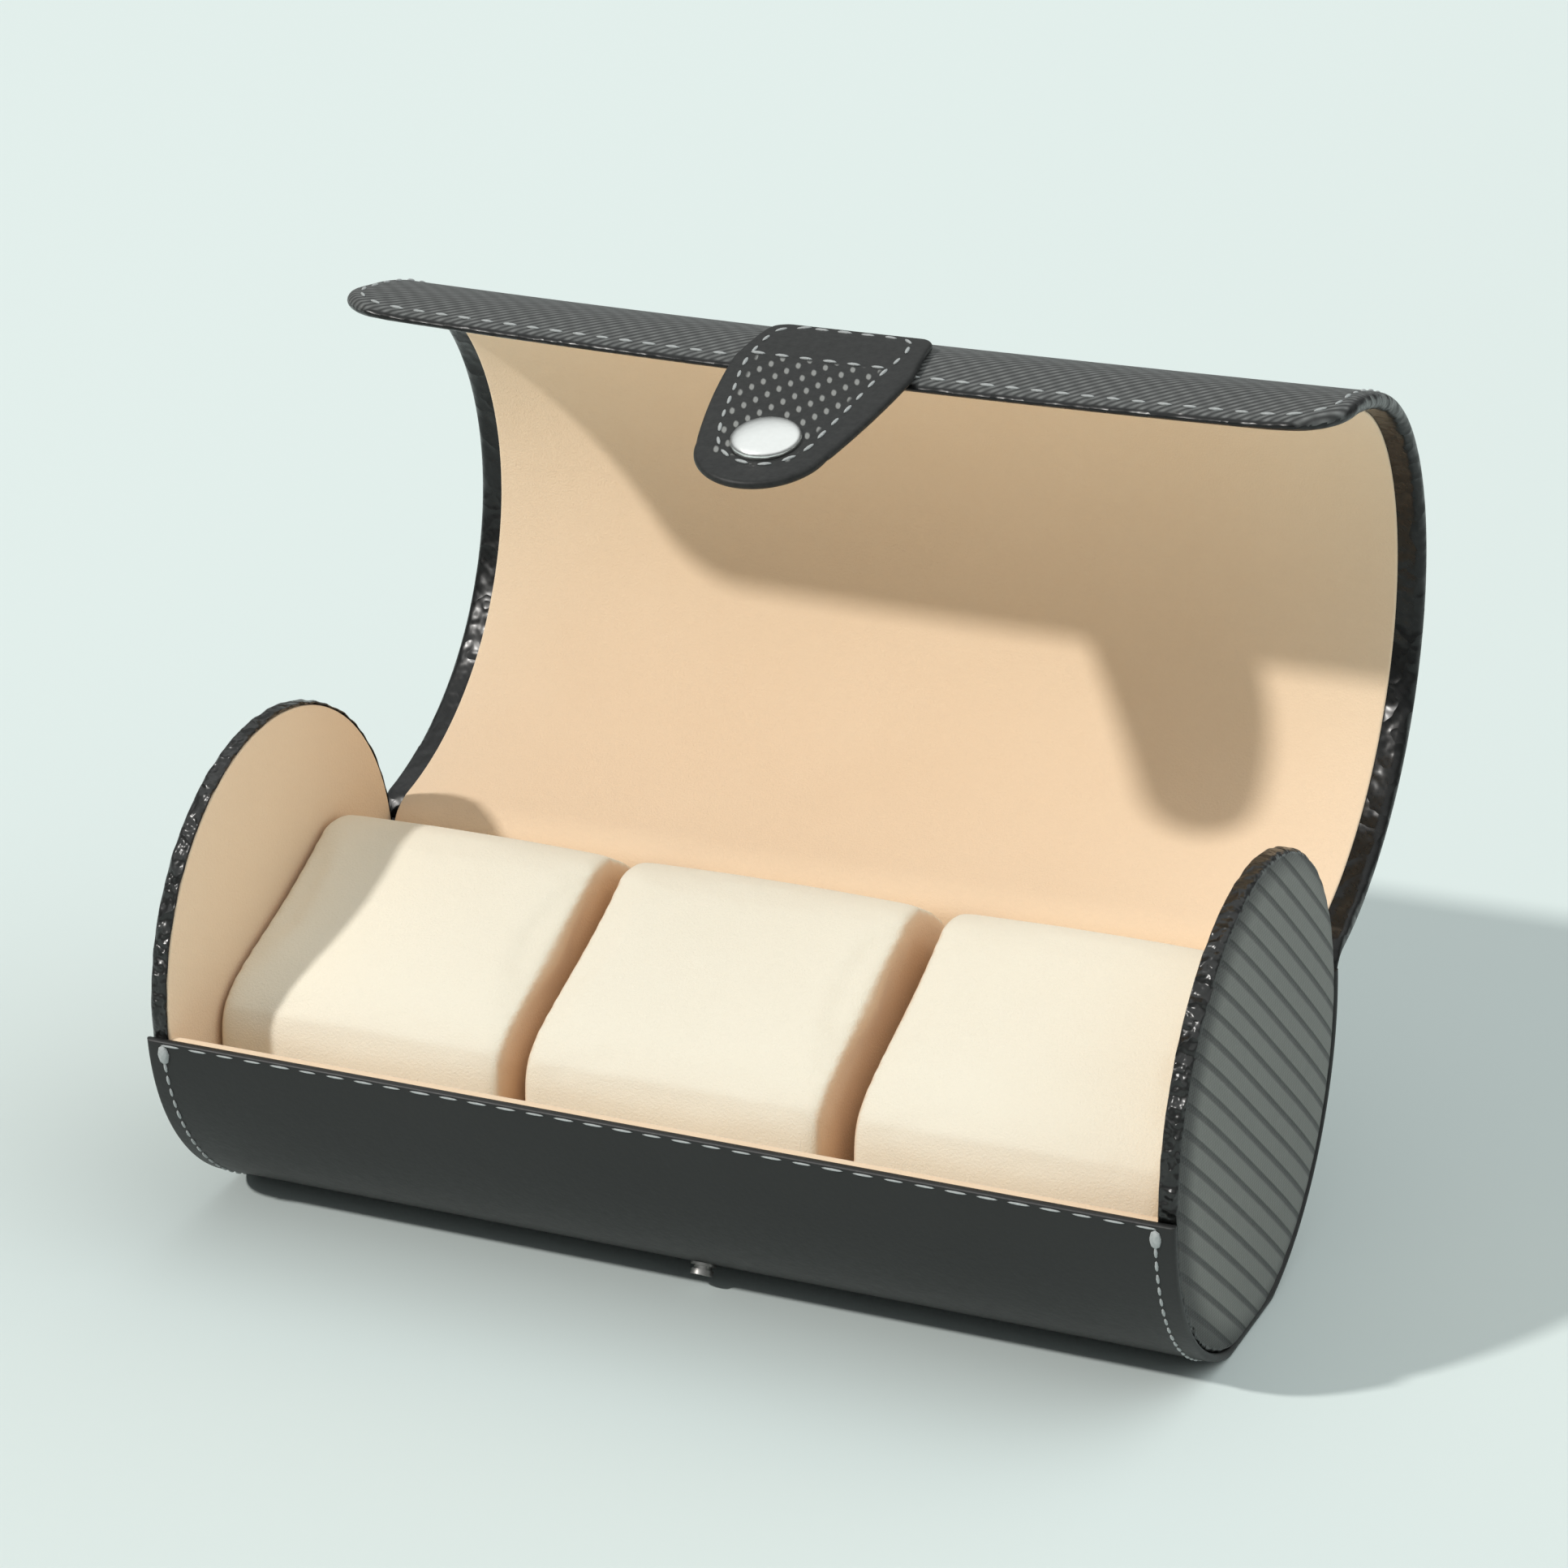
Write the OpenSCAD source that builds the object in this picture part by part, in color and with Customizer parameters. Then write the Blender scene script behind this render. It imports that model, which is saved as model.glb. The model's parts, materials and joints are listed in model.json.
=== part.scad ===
// Watch roll: a round leather-covered case for three watches, lying open with its lid thrown back.
// X runs along the roll, +Y points to the back, where the lid is hinged, and +Z points up.
// The origin is the middle of the narrow flat on which the roll rests.

/* [Roll] */
// Length of the roll over both end caps
roll_len = 200; // [160:1:260]
// Outer radius of the base shell
shell_r = 46.4; // [42:0.1:52]
// Width of the flat on the underside
flat_w = 24; // [16:1:26]
// Angle of the base's front rim, from the back, over the top
front_rim_angle = 185; // [178:1:192]
// Angle of the base's back rim, above the level of the roll's axis
back_rim_angle = 9.8; // [4:0.2:10]

/* [Base shell] */
// Thickness of the outer leather
cover_t = 1.6; // [1:0.1:2]
// Thickness of the greyboard
board_t = 2; // [1.2:0.1:3]
// Thickness of the velour lining
lining_t = 0.8; // [0.5:0.1:1.2]
// How far the board and lining stop below the leather's rim
rim_drop = 0.6; // [0.3:0.1:1.5]

/* [End caps] */
// Thickness of a whole end cap
cap_t = 4.6; // [3.8:0.1:6]
// Thickness of the leather on a cap's outer face
cap_face_t = 1; // [0.6:0.1:1.4]
// Thickness of the leather round a cap's rim
cap_rim_t = 0.7; // [0.5:0.1:1.2]
// Rounding of a cap's outer edge
cap_edge_r = 0.9; // [0.4:0.1:0.9]

/* [Lid] */
// Angle round the shell that the closed lid covers
lid_wrap = 199; // [185:1:205]
// Space between the closed lid and the base shell
lid_gap = 0.6; // [0.5:0.1:1]
// How much each side of the lid stops short of the caps' outer faces
lid_inset = 1.2; // [0.6:0.1:3]
// Thickness of the lid's outer leather
lid_cover_t = 1.3; // [0.9:0.1:1.8]
// Thickness of the lid's bendable board
lid_board_t = 1.6; // [1:0.1:2]
// Thickness of the lid's lining
lid_lining_t = 0.9; // [0.6:0.1:1.2]
// Width of the leather that is turned in round the lid's inner face
lid_border = 5; // [3:0.5:8]
// Radius of the lid's front corners
lid_corner_r = 11; // [6:0.5:14]
// Gap between two panels of the lid
panel_gap = 0.6; // [0.5:0.1:0.9]

/* [Open lid] */
// Angle of the hinge line above the level of the roll's axis
hinge_angle = 15; // [14:0.5:18]
// Height of the hinge line above the shell's surface
hinge_rise = 0.7; // [0.7:0.1:1.2]
// Slope of the open lid where it leaves the hinge
lid_slope = 11.5; // [5:0.5:20]
// Bend of the lid's first panel
turn_1 = 31; // [24:0.5:40]
// Bend of the lid's second panel
turn_2 = 35.5; // [24:0.5:42]
// Bend of the lid's third panel
turn_3 = 38; // [24:0.5:44]
// Bend of the lid's fourth panel
turn_4 = 44.5; // [24:0.5:48]
// Bend of the lid's fifth panel, at the front edge
turn_5 = 21; // [12:0.5:36]

/* [Closing tab] */
// Length of the tab that is sewn onto the lid
heel_len = 17; // [14:0.5:26]
// Width of the tab at its sewn end
heel_w = 35; // [28:0.5:38]
// Width of the tab at the lid's front edge
tab_root_w = 35; // [28:0.5:40]
// Diameter of the tab's round tip
tab_tip_d = 25; // [21:0.5:29]
// Length of the tab's free part, from the lid's edge to the tip
tab_len = 39.5; // [37:0.5:44]
// Radius of the curve in which the free tab droops
tab_curve_r = 180; // [120:1:300]
// How much the free tab dips against the lid's slope where it leaves the edge
tab_kink = 12; // [8:0.5:13]
// How far the tab and the snap lie to the right of the lid's middle
tab_x = 2.5; // [0:0.5:6]
// Thickness of the tab's outer leather
tab_outer_t = 0.7; // [0.6:0.1:1]
// Thickness of the tab's stiffener
tab_core_t = 0.5; // [0.4:0.1:0.8]
// Thickness of the tab's backing leather
tab_backing_t = 0.5; // [0.4:0.1:0.8]
// Width of the leather round the stiffener's edge
tab_edge_w = 1.4; // [1:0.1:2]

/* [Snap fastener] */
// Distance of the snap from the lid's front edge
snap_reach = 26; // [25:0.5:31]
// Diameter of the domed snap cap
snap_cap_d = 13; // [11:0.1:15]
// Height of the domed snap cap
snap_cap_h = 2.2; // [1.5:0.1:3]
// Diameter of the snap's socket
socket_d = 11; // [9.5:0.1:12]
// Height of the snap's socket
socket_h = 2; // [1.6:0.1:2.6]
// Diameter of the stud's foot on the leather's face
stud_foot_d = 4.8; // [4:0.1:6]
// Thickness of the stud's foot
stud_foot_t = 0.5; // [0.4:0.1:0.8]
// Diameter of the stud's head
stud_head_d = 4.2; // [3.6:0.1:4.6]
// Height of the stud's head above its foot
stud_head_h = 1.7; // [1.2:0.1:2.2]
// Diameter of the washer that holds the stud inside the board
washer_d = 10.6; // [9:0.1:12]
// Diameter of the rivet posts
rivet_d = 3; // [2.4:0.1:3.6]

/* [Pillows] */
// Gap between the left cap and the first pillow
gap_left = 0.4; // [0.3:0.1:8]
// Gap between the first and second pillow
gap_mid = 4; // [2:0.1:8]
// Gap between the second and third pillow
gap_right = 5.6; // [2:0.1:8]
// Gap between the third pillow and the right cap
gap_end = 3.8; // [0.4:0.1:8]
// Space between a pillow and the lining
pillow_clear = 0.4; // [0.3:0.1:1]
// Distance of a pillow's sloping top from the roll's axis
pillow_top = 10; // [8:0.5:14]
// Lean of a pillow's top, which falls towards the front
pillow_lean = 25; // [16:1:30]
// Distance of a pillow's back slope from the roll's axis
pillow_back = 25.2; // [22:0.2:30]
// Lean of a pillow's back slope, behind its ridge
pillow_back_lean = 24; // [14:1:30]
// Distance of a pillow's front face from the roll's axis
pillow_front = 29; // [26:0.2:36]
// Rounding of a pillow's side edges
pillow_edge_r = 2.5; // [1.5:0.5:6]
// How much a pillow's top bulges between its sides
pillow_crown = 0.5; // [0:0.1:3]
// How far a pillow's sides draw in at their middle
pillow_draw = 1; // [0:0.1:2]
// Thickness of a pillow's padded cover over its foam core
pillow_cover_t = 3; // [2:0.5:5]

/* [Hidden] */

$fn = 96;
black = [0.12, 0.12, 0.12];
carbon = [0.3, 0.31, 0.3];
velour = [0.93, 0.85, 0.72];
cream = [0.96, 0.92, 0.82];
card = [0.55, 0.5, 0.44];
steel = [0.78, 0.79, 0.8];

// The roll's axis stands above the floor by the distance from it to the flat's chord
axis_z = sqrt(pow(shell_r, 2) - pow(flat_w / 2, 2));
cap_r = shell_r - cover_t;
board_r = cap_r;
lining_r = board_r - board_t;
inner_r = lining_r - lining_t;
cavity_len = roll_len - 2 * cap_t;
cut = 1;

// The lid is a chain of panels; panel k starts at panel_start(k), with slope panel_slope(k)
panels = 5;
turns = [turn_1, turn_2, turn_3, turn_4, turn_5];
lid_t = lid_cover_t + lid_board_t + lid_lining_t;
lid_half = roll_len / 2 - lid_inset;
panel_len = lid_wrap * PI / 180 * (shell_r + lid_gap) / panels;
function polar(r, a) = [r * cos(a), r * sin(a)];
function bend_r(k) = panel_len / turns[k] * 180 / PI;
function panel_slope(k) = k == 0 ? lid_slope : panel_slope(k - 1) + turns[k - 1];
function panel_start(k) = k == 0
    ? [0, axis_z] + polar(shell_r + hinge_rise, hinge_angle)
    : bend_centre(k - 1) + polar(bend_r(k - 1), panel_slope(k) - 90);
function bend_centre(k) = panel_start(k) + polar(bend_r(k), panel_slope(k) + 90);

// The tab lies on the last panel's outer face and runs on past the lid's edge
tab_t = tab_outer_t + tab_core_t + tab_backing_t;
last = panels - 1;
lid_end_slope = panel_slope(last) + turns[last];
lid_end = bend_centre(last) + polar(bend_r(last) + lid_t, lid_end_slope - 90);
heel_r = bend_r(last) + lid_t;
tab_slope = lid_end_slope + tab_kink;
tab_centre = lid_end + polar(tab_curve_r, tab_slope + 90);
tab_turn = tab_len / tab_curve_r * 180 / PI;
snap_turn = snap_reach / tab_curve_r * 180 / PI;
tab_gap = 0.8;
closing_lag = 5.1;
stud_angle = hinge_angle + lid_wrap - closing_lag
    + snap_reach / (shell_r + stud_foot_t + socket_h) * 180 / PI;
post_r = rivet_d / 2;
post_play = 0.05;
washer_t = 0.5;
socket_wall = 2.8;
wall_play = 0.02;
graze = 0.02;

// Pillows: centres along the roll, and the outline in the plane across it
pillow_w = (cavity_len - gap_left - gap_mid - gap_right - gap_end) / 3;
pillow_x1 = gap_left + pillow_w / 2 - cavity_len / 2;
pillow_x2 = pillow_x1 + pillow_w + gap_mid;
pillow_x3 = pillow_x2 + pillow_w + gap_right;
pillow_r = inner_r - pillow_clear;
pillow_floor = shell_r - inner_r + pillow_clear - axis_z;
ring_points = 44;
side_rings = 5;
corner_power = 10;
ridge_power = 20;
front_power = 6;

// A roll-long disc of radius r about the roll's axis, cut flat below in step with the underside
module flat_disc(r, length) {
    intersection() {
        translate([0, 0, axis_z]) rotate([0, 90, 0]) cylinder(r = r, h = length, center = true);
        translate([-length, -2 * r, shell_r - r]) cube([2 * length, 4 * r, 4 * r]);
    }
}

// The wedge that is open above the base shell, between two rim angles
module mouth(front, back) {
    far = 3 * shell_r;
    rim_points = [polar(far, back), polar(far, 60), polar(far, 120), polar(far, front)];
    translate([-roll_len, 0, axis_z]) rotate([90, 0, 90])
        linear_extrude(2 * roll_len) polygon(concat([[0, 0]], rim_points));
}

// A layer of the base shell, from r_out in to r_in
module shell_layer(r_out, r_in, length, drop) {
    fall = drop / r_out * 180 / PI;
    difference() {
        flat_disc(r_out, length);
        flat_disc(r_in, length + 2 * cut);
        mouth(front_rim_angle + fall, back_rim_angle - fall);
    }
}

// Stands a piece on the shell's outer face at the stud, with its own Z pointing outwards
module at_stud() {
    translate([tab_x, 0, axis_z]) rotate([stud_angle - 90, 0, 0]) translate([0, 0, shell_r]) children();
}

module stud_hole(r) {
    at_stud() translate([0, 0, -2 * shell_r / 3]) cylinder(r = r, h = shell_r);
}

module base_cover() {
    color(black) difference() {
        shell_layer(shell_r, cap_r, roll_len, 0);
        stud_hole(post_r + post_play);
    }
}

module base_board() {
    color(card) difference() {
        shell_layer(board_r, lining_r, cavity_len, rim_drop);
        stud_hole(post_r + post_play);
        at_stud() translate([0, 0, -cover_t - board_t - cut])
            cylinder(r = washer_d / 2 + post_play, h = cut + washer_t);
    }
}

module base_lining() {
    color(velour) shell_layer(lining_r, inner_r, cavity_len, rim_drop);
}

module snap_stud() {
    neck_r = 0.4 * stud_head_d;
    head_z = stud_foot_t + 0.4 * stud_head_h;
    color(steel) at_stud() union() {
        cylinder(r = stud_foot_d / 2, h = stud_foot_t);
        cylinder(r = neck_r, h = stud_foot_t + stud_head_h);
        translate([0, 0, head_z]) cylinder(r = stud_head_d / 2, h = stud_foot_t + stud_head_h - head_z);
        translate([0, 0, -cover_t - board_t]) cylinder(r = post_r, h = cover_t + board_t + cut / 2);
    }
}

module stud_washer() {
    color(steel) at_stud() translate([0, 0, -cover_t - board_t]) difference() {
        cylinder(r = washer_d / 2, h = washer_t);
        translate([0, 0, -cut]) cylinder(r = post_r + post_play, h = washer_t + 2 * cut);
    }
}

// A cap's leather: a shallow cup, its face outwards at +X and its outer edge rounded
module cap_cover() {
    edge = [for (a = [0:30:90]) [cap_r - cap_edge_r, cap_t - cap_edge_r] + polar(cap_edge_r, a)];
    color(carbon) difference() {
        intersection() {
            flat_disc(cap_r, 2 * roll_len);
            translate([roll_len / 2 - cap_t, 0, axis_z]) rotate([0, 90, 0]) rotate_extrude()
                polygon(concat([[0, 0], [cap_r, 0]], edge, [[0, cap_t]]));
        }
        translate([roll_len / 2 - cap_face_t - cap_t, 0, 0]) flat_disc(cap_r - cap_rim_t, 2 * cap_t);
    }
}

module cap_disc(inner, thickness) {
    translate([inner + thickness / 2, 0, 0]) flat_disc(cap_r - cap_rim_t, thickness);
}

module cap_board() {
    color(card) cap_disc(roll_len / 2 - cap_t + lining_t, cap_t - cap_face_t - lining_t);
}

module cap_lining() {
    color(velour) cap_disc(roll_len / 2 - cap_t, lining_t);
}

// A curved sheet along the roll: from r_in to r_out about a centre in the YZ plane
module arc_sheet(centre, r_in, r_out, from, to, half) {
    translate([0, centre.x, centre.y]) rotate([90, 0, 90]) rotate([0, 0, from])
        rotate_extrude(angle = to - from) translate([r_in, -half]) square([r_out - r_in, 2 * half]);
}

// A layer of lid panel k, between two depths below its inner face, with its ends drawn in
module panel_layer(k, depth_in, depth_out, half, start_in, end_in) {
    r = bend_r(k);
    per_mm = 180 / PI / r;
    from = panel_slope(k) - 90;
    arc_sheet(bend_centre(k), r + depth_in, r + depth_out,
        from + start_in * per_mm, from + turns[k] - end_in * per_mm, half);
}

// What is taken off the lid's two front corners, square to its front end and drawn in by an inset
module corner_cuts(inset) {
    radius = lid_corner_r - inset;
    half = lid_half - inset;
    edge = panel_slope(last) + turns[last] - inset / bend_r(last) * 180 / PI;
    at = bend_centre(last) + polar(bend_r(last), edge - 90);
    for (side = [0, 1]) mirror([side, 0, 0])
        translate([0, at.x, at.y]) rotate([edge - 180, 0, 0])
            linear_extrude(4 * lid_t, center = true) difference() {
                translate([half - radius, -cut]) square(radius + cut);
                translate([half - radius + graze, radius - graze]) circle(r = radius);
            }
}

// Panels keep half a gap at a joint, and none at the lid's own two edges
function gap_before(k) = k == 0 ? 0 : panel_gap / 2;
function gap_after(k) = k == last ? 0 : panel_gap / 2;

// The outer leather is folded round the lid's edges, with a border turned in on the inner face
module lid_cover(k) {
    edge_start = k == 0 ? lid_cover_t : -cut;
    edge_end = k == last ? lid_cover_t : -cut;
    border_start = k == 0 ? lid_border : -cut;
    border_end = k == last ? lid_border : -cut;
    color(black) difference() {
        panel_layer(k, 0, lid_t, lid_half, gap_before(k), gap_after(k));
        panel_layer(k, lid_lining_t, lid_t - lid_cover_t, lid_half - lid_cover_t, edge_start, edge_end);
        panel_layer(k, -cut, lid_lining_t + wall_play, lid_half - lid_border, border_start, border_end);
    }
}

module lid_board(k) {
    start = k == 0 ? lid_cover_t : gap_before(k);
    end = k == last ? lid_cover_t : gap_after(k);
    color(card) panel_layer(k, lid_lining_t, lid_t - lid_cover_t, lid_half - lid_cover_t, start, end);
}

module lid_lining(k) {
    start = k == 0 ? lid_border : gap_before(k);
    end = k == last ? lid_border : gap_after(k);
    color(velour) panel_layer(k, 0, lid_lining_t, lid_half - lid_border, start, end);
}

// The last panel's pieces, cut to the lid's rounded front corners
module front_cover() {
    color(black) difference() {
        panel_layer(last, 0, lid_t, lid_half, gap_before(last), 0);
        corner_cuts(0);
        difference() {
            panel_layer(last, lid_lining_t, lid_t - lid_cover_t, lid_half - lid_cover_t, -cut, lid_cover_t);
            corner_cuts(lid_cover_t);
        }
        difference() {
            panel_layer(last, -cut, lid_lining_t + wall_play, lid_half - lid_border, -cut, lid_border);
            corner_cuts(lid_border);
        }
    }
}

module front_board() {
    color(card) difference() {
        lid_board(last);
        corner_cuts(lid_cover_t);
    }
}

module front_lining() {
    color(velour) difference() {
        lid_lining(last);
        corner_cuts(lid_border);
    }
}

// The sewn part of the tab, on the last panel's outer face
module heel_layer(depth_in, depth_out, edge) {
    per_mm = 180 / PI / heel_r;
    from = lid_end_slope - 90 - heel_len * per_mm;
    translate([tab_x, 0, 0]) intersection() {
        arc_sheet(bend_centre(last), heel_r + depth_in, heel_r + depth_out,
            from + edge * per_mm, lid_end_slope - 90, heel_w);
        translate([0, lid_end.x, lid_end.y]) rotate([lid_end_slope - 180, 0, 0])
            linear_extrude(8 * tab_t, center = true) polygon([
                [-tab_root_w / 2 + edge, -tab_len], [tab_root_w / 2 - edge, -tab_len],
                [tab_root_w / 2 - edge, 0], [heel_w / 2 - edge, heel_len],
                [-heel_w / 2 + edge, heel_len], [-tab_root_w / 2 + edge, 0]]);
    }
}

module tab_heel_cover() {
    color(black) difference() {
        heel_layer(0, tab_t, 0);
        heel_layer(-cut, tab_t - tab_outer_t, tab_edge_w);
    }
}

module tab_heel_core() {
    color(card) heel_layer(0, tab_t - tab_outer_t, tab_edge_w);
}

// The free part of the tab, from the lid's edge to its round tip
module tab_outline(edge) {
    mid = tab_slope + tab_turn / 2;
    tip_r = tab_tip_d / 2;
    chord = 2 * tab_curve_r * sin(tab_turn / 2);
    centre = tab_centre + polar(tab_curve_r, mid - 90);
    translate([0, centre.x, centre.y]) rotate([mid - 180, 0, 0])
        linear_extrude(12 * tab_t, center = true) {
            translate([0, tip_r - chord / 2]) circle(r = tip_r - edge);
            polygon([
                [-tip_r + edge, tip_r - chord / 2], [tip_r - edge, tip_r - chord / 2],
                [tab_root_w / 2 - edge, chord / 2 + tab_t], [-tab_root_w / 2 + edge, chord / 2 + tab_t]]);
        }
}

module tab_layer(depth_in, depth_out, edge) {
    per_mm = 180 / PI / tab_curve_r;
    translate([tab_x, 0, 0]) intersection() {
        arc_sheet(tab_centre, tab_curve_r + depth_in, tab_curve_r + depth_out,
            tab_slope - 90 + tab_gap * per_mm, tab_slope - 90 + tab_turn, tab_root_w);
        tab_outline(edge);
    }
}

// Stands a piece at the snap, with its own Z pointing out of the tab's outer face
module at_snap(depth) {
    translate([tab_x, tab_centre.x, tab_centre.y]) rotate([tab_slope + snap_turn - 180, 0, 0])
        translate([0, 0, tab_curve_r + depth]) children();
}

module snap_hole() {
    at_snap(-tab_t) cylinder(r = post_r + post_play, h = 3 * tab_t);
}

module tab_cover() {
    color(black) difference() {
        tab_layer(tab_backing_t, tab_t, 0);
        tab_layer(0, tab_t - tab_outer_t, tab_edge_w);
        snap_hole();
    }
}

module tab_core() {
    color(card) difference() {
        tab_layer(tab_backing_t, tab_t - tab_outer_t, tab_edge_w);
        snap_hole();
    }
}

module tab_backing() {
    color(black) difference() {
        tab_layer(0, tab_backing_t, 0);
        snap_hole();
    }
}

// A low dome over a straight rim, with the post that is riveted into the socket
module snap_cap() {
    cap_half = snap_cap_d / 2;
    rim_h = 0.3 * snap_cap_h;
    rise = snap_cap_h - rim_h;
    seat = tab_curve_r - sqrt(pow(tab_curve_r, 2) - pow(cap_half, 2));
    dome = [for (a = [0:15:90]) [cap_half * cos(a), rim_h + rise * sin(a)]];
    color(steel) at_snap(tab_t) union() {
        translate([0, 0, -tab_t - seat / 2]) cylinder(r = post_r, h = tab_t + seat + rim_h / 2);
        translate([0, 0, seat / 8]) rotate_extrude() polygon(concat([[0, 0], [cap_half, 0]], dome));
    }
}

module snap_socket() {
    seat = tab_curve_r - sqrt(pow(tab_curve_r, 2) - pow(socket_d / 2, 2));
    color(steel) at_snap(-socket_h - seat) difference() {
        cylinder(r = socket_d / 2, h = socket_h);
        translate([0, 0, -cut]) cylinder(r = socket_d / 2 - socket_wall, h = socket_h + cut - washer_t);
        translate([0, 0, -cut]) cylinder(r = post_r + post_play, h = socket_h + 3 * cut);
    }
}

// Radius of a pillow's outline at an angle: two slopes that meet in a ridge, the front face and the cavity's circle
function blend(a, b, power) = pow(pow(a, -power) + pow(b, -power), -1 / power);
function flat_r(a, direction, distance) = let(c = cos(a - direction)) c > 0.02 ? distance / c : 20 * shell_r;
function top_r(a) = blend(flat_r(a, 90 + pillow_lean, pillow_top),
    flat_r(a, 90 - pillow_back_lean, pillow_back), ridge_power);
function outline_r(a) = blend(top_r(a), blend(flat_r(a, 180, pillow_front), pillow_r, corner_power), front_power);
function outline_point(a, inset) = let(p = polar(outline_r(a) - inset, a))
    [p.x, max(p.y, pillow_floor)];
function outline(inset) = [for (i = [0:ring_points - 1]) outline_point(i * 360 / ring_points, inset)];

// How far the outline is drawn in at x, by the crown and by the rounded side edge
function edge_inset(x) = let(half = pillow_w / 2, over = max(0, abs(x) - half + pillow_edge_r))
    pillow_crown * pow(x / half, 2) + pillow_edge_r - sqrt(max(0, pow(pillow_edge_r, 2) - pow(over, 2)));
side_x = [for (i = [0:side_rings]) pillow_w / 2 - pillow_edge_r + pillow_edge_r * sin(i * 90 / side_rings)];
ring_x = concat([for (i = [side_rings:-1:0]) -side_x[i]], [-pillow_w / 6, pillow_w / 6], side_x);

module pillow_form() {
    rings = len(ring_x);
    n = ring_points;
    sunk = [0.75, 0.4];
    wall = [for (x = ring_x) [for (p = outline(edge_inset(x))) [x, p.x, p.y]]];
    end_points = outline(edge_inset(pillow_w / 2));
    side = function(sign) [for (s = sunk) [for (p = end_points)
        [sign * (pillow_w / 2 - pillow_draw * (1 - s * s)), s * p.x, s * p.y]]];
    all_rings = concat([side(-1)[1], side(-1)[0]], wall, [side(1)[0], side(1)[1]]);
    points = concat([for (r = all_rings) for (p = r) p],
        [[-pillow_w / 2 + pillow_draw, 0, 0], [pillow_w / 2 - pillow_draw, 0, 0]]);
    count = rings + 4;
    skin = [for (r = [0:count - 2]) for (i = [0:n - 1]) let(a = r * n + i, b = r * n + (i + 1) % n)
        for (f = [[a, b, a + n], [b, b + n, a + n]]) f];
    left_end = [for (i = [0:n - 1]) [count * n, (i + 1) % n, i]];
    right_end = [for (i = [0:n - 1]) [count * n + 1, (count - 1) * n + i, (count - 1) * n + (i + 1) % n]];
    translate([0, 0, axis_z]) polyhedron(points, concat(skin, left_end, right_end));
}

module pillow_foam() {
    half = pillow_w / 2 - pillow_cover_t - pillow_draw;
    translate([-half, 0, axis_z]) rotate([90, 0, 90])
        linear_extrude(2 * half) polygon(outline(pillow_cover_t + pillow_crown));
}

module pillow_cover(x) {
    color(cream) translate([x, 0, 0]) difference() {
        pillow_form();
        pillow_foam();
    }
}

module pillow_core(x) {
    color("khaki") translate([x, 0, 0]) pillow_foam();
}

base_cover();
base_board();
base_lining();
mirror([1, 0, 0]) cap_cover();  // left_cap_cover
mirror([1, 0, 0]) cap_board();  // left_cap_board
mirror([1, 0, 0]) cap_lining();  // left_cap_lining
cap_cover();  // right_cap_cover
cap_board();  // right_cap_board
cap_lining();  // right_cap_lining
snap_stud();
stud_washer();
lid_cover(0);  // lid_cover_1
lid_cover(1);  // lid_cover_2
lid_cover(2);  // lid_cover_3
lid_cover(3);  // lid_cover_4
front_cover();  // lid_cover_5
lid_board(0);  // lid_board_1
lid_board(1);  // lid_board_2
lid_board(2);  // lid_board_3
lid_board(3);  // lid_board_4
front_board();  // lid_board_5
lid_lining(0);  // lid_lining_1
lid_lining(1);  // lid_lining_2
lid_lining(2);  // lid_lining_3
lid_lining(3);  // lid_lining_4
front_lining();  // lid_lining_5
tab_heel_cover();
tab_heel_core();
tab_cover();
tab_core();
tab_backing();
snap_cap();
snap_socket();
pillow_cover(pillow_x1);  // pillow_1_cover
pillow_cover(pillow_x2);  // pillow_2_cover
pillow_cover(pillow_x3);  // pillow_3_cover
pillow_core(pillow_x1);  // pillow_1_core
pillow_core(pillow_x2);  // pillow_2_core
pillow_core(pillow_x3);  // pillow_3_core
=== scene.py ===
# %% [markdown]
# # A watch roll, open
# The real object is a round case for three watches. Leather is wrapped over a stiff trough and
# over two round end caps, a bending lid curls up behind it, and three velour pillows lie inside.
# This script dresses the rigid parts that come from the part's source with leather, velour,
# thread and metal. Everything is worked out in millimetres and turned into metres when a mesh
# is made, because Blender's own unit is the metre.

# %% Load the frame
import json
import math

import bmesh
import bpy
import numpy as np
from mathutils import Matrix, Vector


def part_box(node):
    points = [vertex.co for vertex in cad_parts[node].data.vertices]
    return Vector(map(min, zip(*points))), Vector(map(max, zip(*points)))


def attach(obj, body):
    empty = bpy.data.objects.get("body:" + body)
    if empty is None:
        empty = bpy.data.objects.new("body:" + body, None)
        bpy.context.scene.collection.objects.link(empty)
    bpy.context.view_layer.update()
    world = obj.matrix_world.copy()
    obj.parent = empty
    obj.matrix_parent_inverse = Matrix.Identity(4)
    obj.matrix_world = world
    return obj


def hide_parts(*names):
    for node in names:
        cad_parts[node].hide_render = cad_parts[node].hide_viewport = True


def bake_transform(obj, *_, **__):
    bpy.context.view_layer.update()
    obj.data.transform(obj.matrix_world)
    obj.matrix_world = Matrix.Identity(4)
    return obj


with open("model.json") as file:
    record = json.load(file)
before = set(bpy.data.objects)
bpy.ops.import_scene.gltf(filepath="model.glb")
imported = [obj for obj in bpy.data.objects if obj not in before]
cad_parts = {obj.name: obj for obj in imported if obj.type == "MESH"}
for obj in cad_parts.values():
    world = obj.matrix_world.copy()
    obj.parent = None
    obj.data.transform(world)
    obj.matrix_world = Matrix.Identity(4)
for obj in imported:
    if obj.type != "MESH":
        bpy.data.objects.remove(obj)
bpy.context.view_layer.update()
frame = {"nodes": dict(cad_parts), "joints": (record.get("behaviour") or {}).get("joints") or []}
MM = 0.001
joints = {joint["name"]: joint for joint in frame["joints"]}
print("parts in the frame:", len(frame["nodes"]), "joints:", len(joints))

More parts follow.
